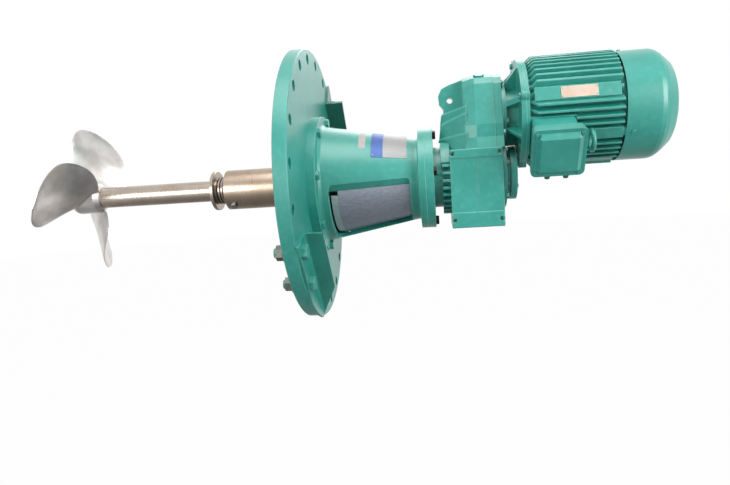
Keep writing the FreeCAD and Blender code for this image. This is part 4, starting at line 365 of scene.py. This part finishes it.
# Vinyl film is an even pale grey with a weak sheen
label_vinyl = cloudy("blank_vinyl_label", ("B3A8A6", "BFB5B3"), cloud_mm=15, rough=0.5)
# Zinc that has stood in the weather is darker and duller, and a little green
weathered_zinc = cloudy("weathered_zinc_nut", ("6B736B", "868C83"), cloud_mm=4, rough=0.45, metal=0.8)
print("materials so far", len(bpy.data.materials))

# %% [markdown]
# Most of the pieces inside the machine are hidden. They still get the finish that they would show if it were
# opened: bearings and gears of bare steel, the motor's sheets and coils, rubber seals and moulded plastic.

# %% Inner pieces, rubber and plastic
# Ground bearing steel is the smoothest metal here, nearly a mirror
bearing_steel = cloudy(
    "ground_bearing_steel", ("A8A8A8", "BDBDBD"), cloud_mm=12, rough=0.18, metal=1.0, grain_height=0.005,
)
# Machined gear steel is a darker grey, with plain tool marks
gear_steel = turned_steel(
    "machined_gear_steel", ("7D7D7D", "929292"), ring_mm=1.0, ring_height=0.02, rough=0.32,
)
# A stack of thin sheets is dark and matt, with fine lines where they meet, drawn coarser than the real ones
lamination = turned_steel(
    "stacked_lamination_steel", ("3A3A3C", "4C4C50"), ring_mm=1.0, ring_height=0.05, rough=0.5,
)
# Wound copper wire is red-brown and bumpy under the shine of its varnish
copper_coil = cloudy(
    "varnished_copper_coil", ("8A3F1F", "A8562C"), cloud_mm=4, rough=0.35, metal=0.7, grain_height=0.2,
    grain_mm=2.0,
)
# Cast aluminium is a pale, slightly grainy grey
cast_aluminium = cloudy(
    "cast_aluminium", ("9C9C9E", "B2B2B4"), cloud_mm=10, rough=0.38, metal=1.0, grain_height=0.05,
)
# Rubber is almost black and matt, so a seal shows as a dark line
rubber = cloudy("moulded_rubber", ("141414", "1E1E1E"), cloud_mm=5, rough=0.6)
# Moulded black plastic has a fine grain and a soft highlight
black_plastic = cloudy(
    "moulded_black_plastic", ("18181A", "242426"), cloud_mm=9, rough=0.45, grain_height=0.03,
)
# The plastic of the cable glands is a darker and duller turquoise than the paint beside it
gland_plastic = cloudy(
    "moulded_gland_plastic", ("2E6E64", "388076"), cloud_mm=9, rough=0.42, grain_height=0.03,
)
# Bearing plastic turned from a bar is off-white and matt
bush_plastic = cloudy("turned_bush_plastic", ("D5D2C6", "E2DFD5"), cloud_mm=12, rough=0.5)
# Lapped carbide is black, with a smooth, close shine
carbide = cloudy("lapped_carbide", ("1B1B1D", "2A2A2C"), cloud_mm=8, rough=0.2, grain_height=0.004)
print("materials so far", len(bpy.data.materials))

# %% [markdown]
# The guard sheet is rolled stainless: the rolls leave long, very fine lines along the sheet, which smear
# what it reflects into soft streaks. The lines are too fine for the picture, so they are drawn a few
# millimetres apart.

# %% Rolled sheet
ROLLED_LENGTH_MM = 70


def rolled(name, hue, line_mm, rough):
    """Rolled sheet with lines along X."""
    finish, tree, shader, where = new_finish(name)
    squeeze = add(tree, "ShaderNodeMapping", {
        "Vector": where, "Scale": [1 / (size * MM) for size in (ROLLED_LENGTH_MM, line_mm, line_mm)],
    })
    lines = add(tree, "ShaderNodeTexNoise", {"Vector": (squeeze, "Vector"), "Scale": 1.0, "Detail": 3.0})
    shade_and_gloss(
        tree, shader, hue, (lines, "Fac"), (lines, "Fac"), rough - 0.05, rough + 0.1, shade_low=0.3,
    )
    fill(tree, shader, {"Metallic": 0.6})
    return finish


# Behind the window the sheet is a cool grey with a soft shine
rolled_sheet = rolled("smooth_rolled_stainless_sheet", ("8E97A6", "ABB3C0"), line_mm=2.2, rough=0.34)
# The folded end is a paler copy of the sheet, nearly white beside it: a painted highlight for the light
# that the fold catches
sheet_painted_highlight = rolled("folded_stainless_sheet_painted_highlight", ("C6CCD6", "DCE0E6"), line_mm=2.2, rough=0.40)
print("guard sheet ready")

# %% [markdown]
# The lantern's nameplate is printed aluminium. It is kept blank here, a blue field beside a grey one with
# ruled rows, so its pattern is a plain step along X and a wave across the rows. Print is matt, so the plate
# gives the eye its colours more than its shine.

# %% Printed nameplate
PLATE_GREY, RULE_GREY, FIELD_BLUE = "A2A0A0", "7F7F80", "4565A8"
FIELD_ENDS_MM = 207.0
ROW_MM = 4.0
WEAR_MM = 7
WAVE_REPEAT = 2 * math.pi / 20           # a Wave texture of scale 1 repeats at this many metres
printed_plate, plate_tree, plate_shader, on_plate = new_finish("printed_aluminium_plate")
spot = add(plate_tree, "ShaderNodeSeparateXYZ", {"Vector": on_plate})
past = add(plate_tree, "ShaderNodeMath", {
    0: (spot, "X"), 1: FIELD_ENDS_MM * MM,
}, operation="GREATER_THAN")
rows = add(plate_tree, "ShaderNodeTexWave", {
    "Vector": on_plate, "Scale": WAVE_REPEAT / (ROW_MM * MM), "Distortion": 0.0,
}, bands_direction="Z")
ruled = add(plate_tree, "ShaderNodeMapRange", {
    "Value": (rows, "Fac"), "From Min": 0.86, "From Max": 0.98, "To Max": 0.5,
})
grey = add(plate_tree, "ShaderNodeMix", {
    "Factor": (ruled, "Result"), "A": linear(PLATE_GREY), "B": linear(RULE_GREY),
}, data_type="RGBA")
both = add(plate_tree, "ShaderNodeMix", {
    "Factor": (past, "Value"), "A": linear(FIELD_BLUE), "B": (grey, "Result"),
}, data_type="RGBA")
wear = add(plate_tree, "ShaderNodeTexNoise", {
    "Vector": on_plate, "Scale": 1 / (WEAR_MM * MM), "Detail": 3.0,
})
plate_gloss = add(plate_tree, "ShaderNodeMapRange", {
    "Value": (wear, "Fac"), "From Min": 0.3, "From Max": 0.7, "To Min": 0.35, "To Max": 0.5,
})
fill(plate_tree, plate_shader, {
    "Base Color": (both, "Result"), "Metallic": 0.2, "Roughness": (plate_gloss, "Result"),
})
print("blue field up to", FIELD_ENDS_MM, "mm, ruled rows after it")

# %% [markdown]
# Now each piece of the machine takes the finish of the real one. The paint covers the screws that were in
# place when the machine was sprayed. The nuts on the tank side were fitted later, so they stay bare and are
# a little weathered.

# %% Dress the machine
FINISH_OF = {
    enamel_on_cut_plate: ["mounting_flange"],
    enamel_on_plate: ["lower_angle_iron", "angle_iron_bolts", "lantern_bolts"],
    enamel_painted_shade_on_far_iron: ["upper_angle_iron"],
    enamel_on_casting: [
        "lantern", "output_flange", "gearbox_housing", "gearbox_cover", "gearbox_screws", "output_end_cap",
        "end_cap_screws", "motor_adaptor", "motor_flange_screws", "drive_end_shield", "stator_frame",
        "fan_end_shield", "terminal_box", "eye_bolt",
    ],
    enamel_on_sheet: ["fan_cowl", "terminal_box_cover", "motor_small_screws", "breather_plug"],
    steel_tube: ["shutoff_sleeve"],
    steel_shaft: ["mixer_shaft"],
    steel_plug: ["shutoff_plug", "seal_housing", "seal_rotor", "propeller_nut"],
    steel_blade: ["propeller"],
    weathered_zinc: ["angle_iron_nuts"],
    zinc: ["sleeve_screw", "seal_housing_screws", "guard_rivets"],
    black_oxide: ["output_flange_bolts"],
    rolled_sheet: ["guard_sheets"],
    printed_plate: ["lantern_nameplate"],
    plate_metal: ["motor_nameplate"],
    bearing_steel: [
        "bearing_outer_rings", "bearing_balls", "output_bearing_inners", "intermediate_bearing_inners",
        "motor_bearing_inners",
    ],
    gear_steel: [
        "hollow_shaft", "output_gear", "drive_key", "intermediate_shaft", "intermediate_gear", "motor_shaft",
        "motor_pinion",
    ],
    lamination: ["stator_core"],
    copper_coil: ["stator_windings"],
    cast_aluminium: ["rotor_core"],
    rubber: ["plug_orings", "oil_seals"],
    black_plastic: ["cooling_fan", "terminal_block"],
    gland_plastic: ["cable_glands"],
    bush_plastic: ["sleeve_bush"],
    carbide: ["seal_seat"],
}
for finish, names in FINISH_OF.items():
    for name in names:
        machine[name].data.materials.clear()
        machine[name].data.materials.append(finish)
undressed = sorted(set(machine) - {n for names in FINISH_OF.values() for n in names})
print("pieces without a finish:", undressed)

# %% [markdown]
# A few thin things are only worth modelling here. They lie on the lantern's cone or round the motor, so two
# helpers come first: one gives the cone's radius at an X, the other turns a thing about an axis along X. A
# third makes an object of a finished mesh and lets it ride on the body that stands still.

# %% Helpers for thin pieces
CONE_X, CONE_BIG, CONE_TAPER = 54.0, 145.0, 44.5 / 236.0


def cone_radius(x):
    """Outside radius of the lantern's cone, in millimetres."""
    return CONE_BIG - CONE_TAPER * (x - CONE_X)


def round_axis(angle, height=0.0):
    """Turn about an axis along X at a height in millimetres; it takes the near side upwards."""
    lift = Matrix.Translation((0, 0, height * MM))
    return lift @ Matrix.Rotation(-math.radians(angle), 4, "X") @ lift.inverted()


def finished_piece(name, mesh_in_work, finish):
    """Make an object of a bmesh, dress it and let it ride on the fixed body."""
    bmesh.ops.recalc_face_normals(mesh_in_work, faces=mesh_in_work.faces)
    data = bpy.data.meshes.new(name)
    mesh_in_work.to_mesh(data)
    mesh_in_work.free()
    data.materials.append(finish)
    piece = bpy.data.objects.new(name, data)
    bpy.context.scene.collection.objects.link(piece)
    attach(piece, "base")


print("radius of the cone at its wide end", cone_radius(CONE_X), "mm")

# %% [markdown]
# The small label beside the nameplate is printed vinyl, kept blank. It follows the cone, so one short edge
# along the cone is spun round the shaft's axis, and the strip gets its thickness from solidify.

# %% Label
LABEL_X = (149.0, 165.0)
LABEL_ANGLES = (40.0, 72.0)
LABEL_LIFT, LABEL_THICK = 0.1, 0.3
label_mesh = bmesh.new()
ends = [label_mesh.verts.new(Vector((x, -cone_radius(x) - LABEL_LIFT, 0)) * MM) for x in LABEL_X]
label_mesh.edges.new(ends)
bmesh.ops.transform(label_mesh, matrix=round_axis(LABEL_ANGLES[0]), verts=label_mesh.verts)
bmesh.ops.spin(
    label_mesh, geom=label_mesh.verts[:] + label_mesh.edges[:], cent=(0, 0, 0), axis=(1, 0, 0),
    angle=math.radians(LABEL_ANGLES[0] - LABEL_ANGLES[1]), steps=12,
)
bmesh.ops.recalc_face_normals(label_mesh, faces=label_mesh.faces)
bmesh.ops.solidify(label_mesh, geom=label_mesh.faces[:], thickness=LABEL_THICK * MM)
finished_piece("lantern_label", label_mesh, label_vinyl)
print("label", LABEL_X[1] - LABEL_X[0], "mm wide")

# %% [markdown]
# A bright strip shows at the tank end of the guard sheet, with a dark gap above it. It is read here as the
# sheet's end, folded inward a little so that it catches the light, and the hidden window behind is taken to
# have the same. Each is made as the label was, from an edge that leans towards the axis.

# %% Folded ends of the guard sheets
FOLD_X = (80.0, 98.0)
FOLD_DEPTH = (17.0, 12.4)      # under the outside of the cone, at those two X
FOLD_REACH = (-44.0, 27.0)     # degrees from the middle of the window, which leaves the gap at one end
FOLD_THICK = 0.8
WINDOW_ANGLES = (-40.0, 140.0)
fold_mesh = bmesh.new()
for window in WINDOW_ANGLES:
    ends = [
        fold_mesh.verts.new(Vector((x, deep - cone_radius(x), 0)) * MM) for x, deep in zip(FOLD_X, FOLD_DEPTH)
    ]
    across = fold_mesh.edges.new(ends)
    bmesh.ops.transform(fold_mesh, matrix=round_axis(window + FOLD_REACH[0]), verts=ends)
    bmesh.ops.spin(
        fold_mesh, geom=ends + [across], cent=(0, 0, 0), axis=(1, 0, 0),
        angle=math.radians(FOLD_REACH[0] - FOLD_REACH[1]), steps=20,
    )
bmesh.ops.recalc_face_normals(fold_mesh, faces=fold_mesh.faces)
bmesh.ops.solidify(fold_mesh, geom=fold_mesh.faces[:], thickness=FOLD_THICK * MM)
# The folds take the paler copy of the sheet, a painted highlight
finished_piece("guard_sheet_folds", fold_mesh, sheet_painted_highlight)
print("folded ends at", len(WINDOW_ANGLES), "windows")

# %% [markdown]
# Both nameplates are held by small domed drive rivets, which give the plates their scale. A rivet is a low
# cone whose upper rim is bevelled into a dome, stood on the plate and turned round the axis of the lantern
# or of the motor.

# %% Drive rivets
RIVET_BASE, RIVET_TOP, RIVET_HIGH = 2.2, 1.6, 1.3
RIVET_ROUND = 0.9
MOTOR_AXIS_Z = 142.0


def drive_rivets(name, spots):
    """Domed rivets; each spot is (x, radius, sideways, angle, height of the axis) in millimetres."""
    heads = bmesh.new()
    for x, radius, sideways, angle, height in spots:
        one = bmesh.new()
        bmesh.ops.create_cone(
            one, cap_ends=True, segments=16, radius1=RIVET_BASE * MM, radius2=RIVET_TOP * MM,
            depth=RIVET_HIGH * MM,
        )
        rim = [e for e in one.edges if all(v.co.z > 0 for v in e.verts)]
        bmesh.ops.bevel(
            one, geom=rim, offset=RIVET_ROUND * MM, segments=3, profile=0.5, affect="EDGES", material=-1,
            clamp_overlap=True,
        )
        outward = Matrix.Rotation(math.radians(90), 4, "X")
        stand = Matrix.Translation(Vector((x, -radius, height + sideways)) * MM) @ outward
        bmesh.ops.transform(one, matrix=round_axis(angle, height) @ stand, verts=one.verts)
        scrap = bpy.data.meshes.new("rivet_in_work")
        one.to_mesh(scrap)
        one.free()
        heads.from_mesh(scrap)
        bpy.data.meshes.remove(scrap)
    finished_piece(name, heads, zinc)


PLATE_RIVETS_X, PLATE_RIVETS_ANGLE = (183.0, 259.0), (31.5, 74.5)
PLATE_RIVETS_LIFT = 1.1
plate_spots = [
    (x, cone_radius(x) + PLATE_RIVETS_LIFT, 0.0, angle, 0.0)
    for x in PLATE_RIVETS_X for angle in PLATE_RIVETS_ANGLE
]
drive_rivets("lantern_plate_rivets", plate_spots)
TAG_TURN, TAG_RADIUS = 13.5, 127.6
TAG_RIVETS_X, TAG_RIVETS_SIDEWAYS = (619.5, 692.5), (-9.5, 9.5)
tag_spots = [
    (x, TAG_RADIUS, sideways, TAG_TURN, MOTOR_AXIS_Z)
    for x in TAG_RIVETS_X for sideways in TAG_RIVETS_SIDEWAYS
]
drive_rivets("motor_plate_rivets", tag_spots)
print(len(plate_spots) + len(tag_spots), "rivets on the two plates")

# %% [markdown]
# Polished steel is a mirror: its look is what stands round it. So the world that steel reflects is white
# behind the machine and dimmer on the side of the room where the photographer stands, as in a real photo
# studio, and that dim side draws the dark bands that give round steel its shape. The Light Path node tells
# which kind of ray asks, so the camera sees plain white and only a weak, even light falls on the machine.

# %% White surround
bpy.context.scene.view_settings.view_transform = "Standard"
world = bpy.data.worlds.new("white_surround")
bpy.context.scene.world = world
world.use_nodes = True
sky = world.node_tree
sky.nodes.clear()
WHITE = linear("FFFFFF")
FILL = 0.18
ROOM_SIDE = 0.07
CEILING = 0.78


def mirrored(tree, path):
    """1 for rays that polished metal or glass sends out."""
    return add(tree, "ShaderNodeMath", {
        0: (path, "Is Glossy Ray"), 1: (path, "Is Transmission Ray"),
    }, operation="MAXIMUM")


path = add(sky, "ShaderNodeLightPath")
heading = add(sky, "ShaderNodeTexCoord")
side = add(sky, "ShaderNodeSeparateXYZ", {"Vector": (heading, "Generated")})
behind = add(sky, "ShaderNodeMapRange", {"Value": (side, "Y"), "From Min": -0.1, "From Max": 0.4})
above = add(sky, "ShaderNodeMapRange", {
    "Value": (side, "Z"), "From Min": -0.3, "From Max": 0.3, "To Max": CEILING,
})
lit = add(sky, "ShaderNodeMath", {0: (behind, "Result"), 1: (above, "Result")}, operation="MAXIMUM")
room = add(sky, "ShaderNodeMapRange", {"Value": (lit, "Value"), "To Min": ROOM_SIDE})
reflected = add(sky, "ShaderNodeMix", {
    "Factor": (mirrored(sky, path), "Value"), "A": FILL, "B": (room, "Result"),
})
strength = add(sky, "ShaderNodeMix", {
    "Factor": (path, "Is Camera Ray"), "A": (reflected, "Result"), "B": 1.0,
})
white = add(sky, "ShaderNodeBackground", {"Color": WHITE, "Strength": (strength, "Result")})
add(sky, "ShaderNodeOutputWorld", {"Surface": (white, "Background")})
print("surround lights the machine at", FILL, "of white")

# %% [markdown]
# Four square lamps light the machine: one above, one on the motor's side, one on the propeller's side and a
# weak one behind, which separates the edges from the background. They are large and near, and a large lamp
# near an object is a soft one, so no shadow has a hard edge.

# %% Lamps
MIDDLE = (0.1, 0.0, 0.0)


def soft_lamp(name, place, size, watts, aim=MIDDLE):
    """Square area lamp at a place, pointing at another, both in metres."""
    lamp = bpy.data.lights.new(name, "AREA")
    lamp.size = size
    lamp.energy = watts
    holder = bpy.data.objects.new(name, lamp)
    facing = (Vector(aim) - Vector(place)).to_track_quat("-Z", "Y").to_matrix().to_4x4()
    holder.matrix_world = Matrix.Translation(place) @ facing
    bpy.context.scene.collection.objects.link(holder)


soft_lamp("key_lamp", (0.2, -1.0, 2.7), size=1.9, watts=54)
soft_lamp("right_lamp", (2.5, -1.7, 0.7), size=1.7, watts=60)
# This one stands almost as high as the shaft, and polished steel shows it as the streak along its middle
soft_lamp("left_lamp", (-1.5, -2.4, 0.3), size=1.2, watts=34, aim=(0.0, 0.0, 0.0))
soft_lamp("back_lamp", (0.4, 2.2, 1.6), size=1.6, watts=22)
print("lamps", len(bpy.data.lights))

# %% [markdown]
# The floor is a wide disc, well below the machine. Its own paint is a mid grey, so that little light bounces
# up under the machine, where the photograph is dark. The camera sees the floor nearly white all the same,
# because nearly all that a camera ray meets there is a glow, and steel sees that glow grow with the distance
# from the middle.

# %% Floor
FLOOR_DROP, FLOOR_RADIUS = 0.9, 14.0
FLOOR_GREY = "A8A8A8"
GLOW_SHARE = 0.985
FLOOR_Z = solid_box[0].z - FLOOR_DROP
floor_mesh = bmesh.new()
bmesh.ops.create_circle(
    floor_mesh, cap_ends=True, segments=96, radius=FLOOR_RADIUS, matrix=Matrix.Translation((0, 0, FLOOR_Z)),
)
floor_data = bpy.data.meshes.new("studio_floor")
floor_mesh.to_mesh(floor_data)
floor_mesh.free()
floor = bpy.data.objects.new("studio_floor", floor_data)
bpy.context.scene.collection.objects.link(floor)
floor_paint, floor_tree, floor_shader, on_floor = new_finish("matt_white_floor")
fill(floor_tree, floor_shader, {"Base Color": linear(FLOOR_GREY), "Roughness": 0.9})
floor_path = add(floor_tree, "ShaderNodeLightPath")
away = add(floor_tree, "ShaderNodeVectorMath", {0: on_floor}, operation="LENGTH")
in_metal = add(floor_tree, "ShaderNodeMapRange", {
    "Value": (away, "Value"), "From Min": 0.8, "From Max": 4.0, "To Min": 0.08, "To Max": 0.90,
})
shine = add(floor_tree, "ShaderNodeMix", {
    "Factor": (floor_path, "Is Camera Ray"), "A": (in_metal, "Result"), "B": 1.0,
})
glow = add(floor_tree, "ShaderNodeEmission", {"Color": WHITE, "Strength": (shine, "Result")})
looked_at = add(floor_tree, "ShaderNodeMath", {
    0: (floor_path, "Is Camera Ray"), 1: (mirrored(floor_tree, floor_path), "Value"),
}, operation="MAXIMUM")
# The last part of the floor's look is left to the lamps, so that the machine's shadow still shows
share = add(floor_tree, "ShaderNodeMapRange", {"Value": (looked_at, "Value"), "To Max": GLOW_SHARE})
floor_mix = add(floor_tree, "ShaderNodeMixShader", {
    "Fac": (share, "Result"), 1: (floor_shader, "BSDF"), 2: (glow, "Emission"),
})
fill(floor_tree, floor_tree.nodes["Material Output"], {"Surface": (floor_mix, "Shader")})
floor_data.materials.append(floor_paint)
floor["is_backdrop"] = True
print("floor at", round(FLOOR_Z, 3), "m")

# %% [markdown]
# At the end the size of the dressed machine is printed, with how far its box has grown past the box of the
# engineering model.

# %% Measure and finish
dressed_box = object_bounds()
grown = max(abs(a - b) for old, new in zip(solid_box, dressed_box) for a, b in zip(old, new))
print("dressed machine", [round(b - a, 3) for a, b in zip(*dressed_box)], "grown by", round(grown, 5), "m")
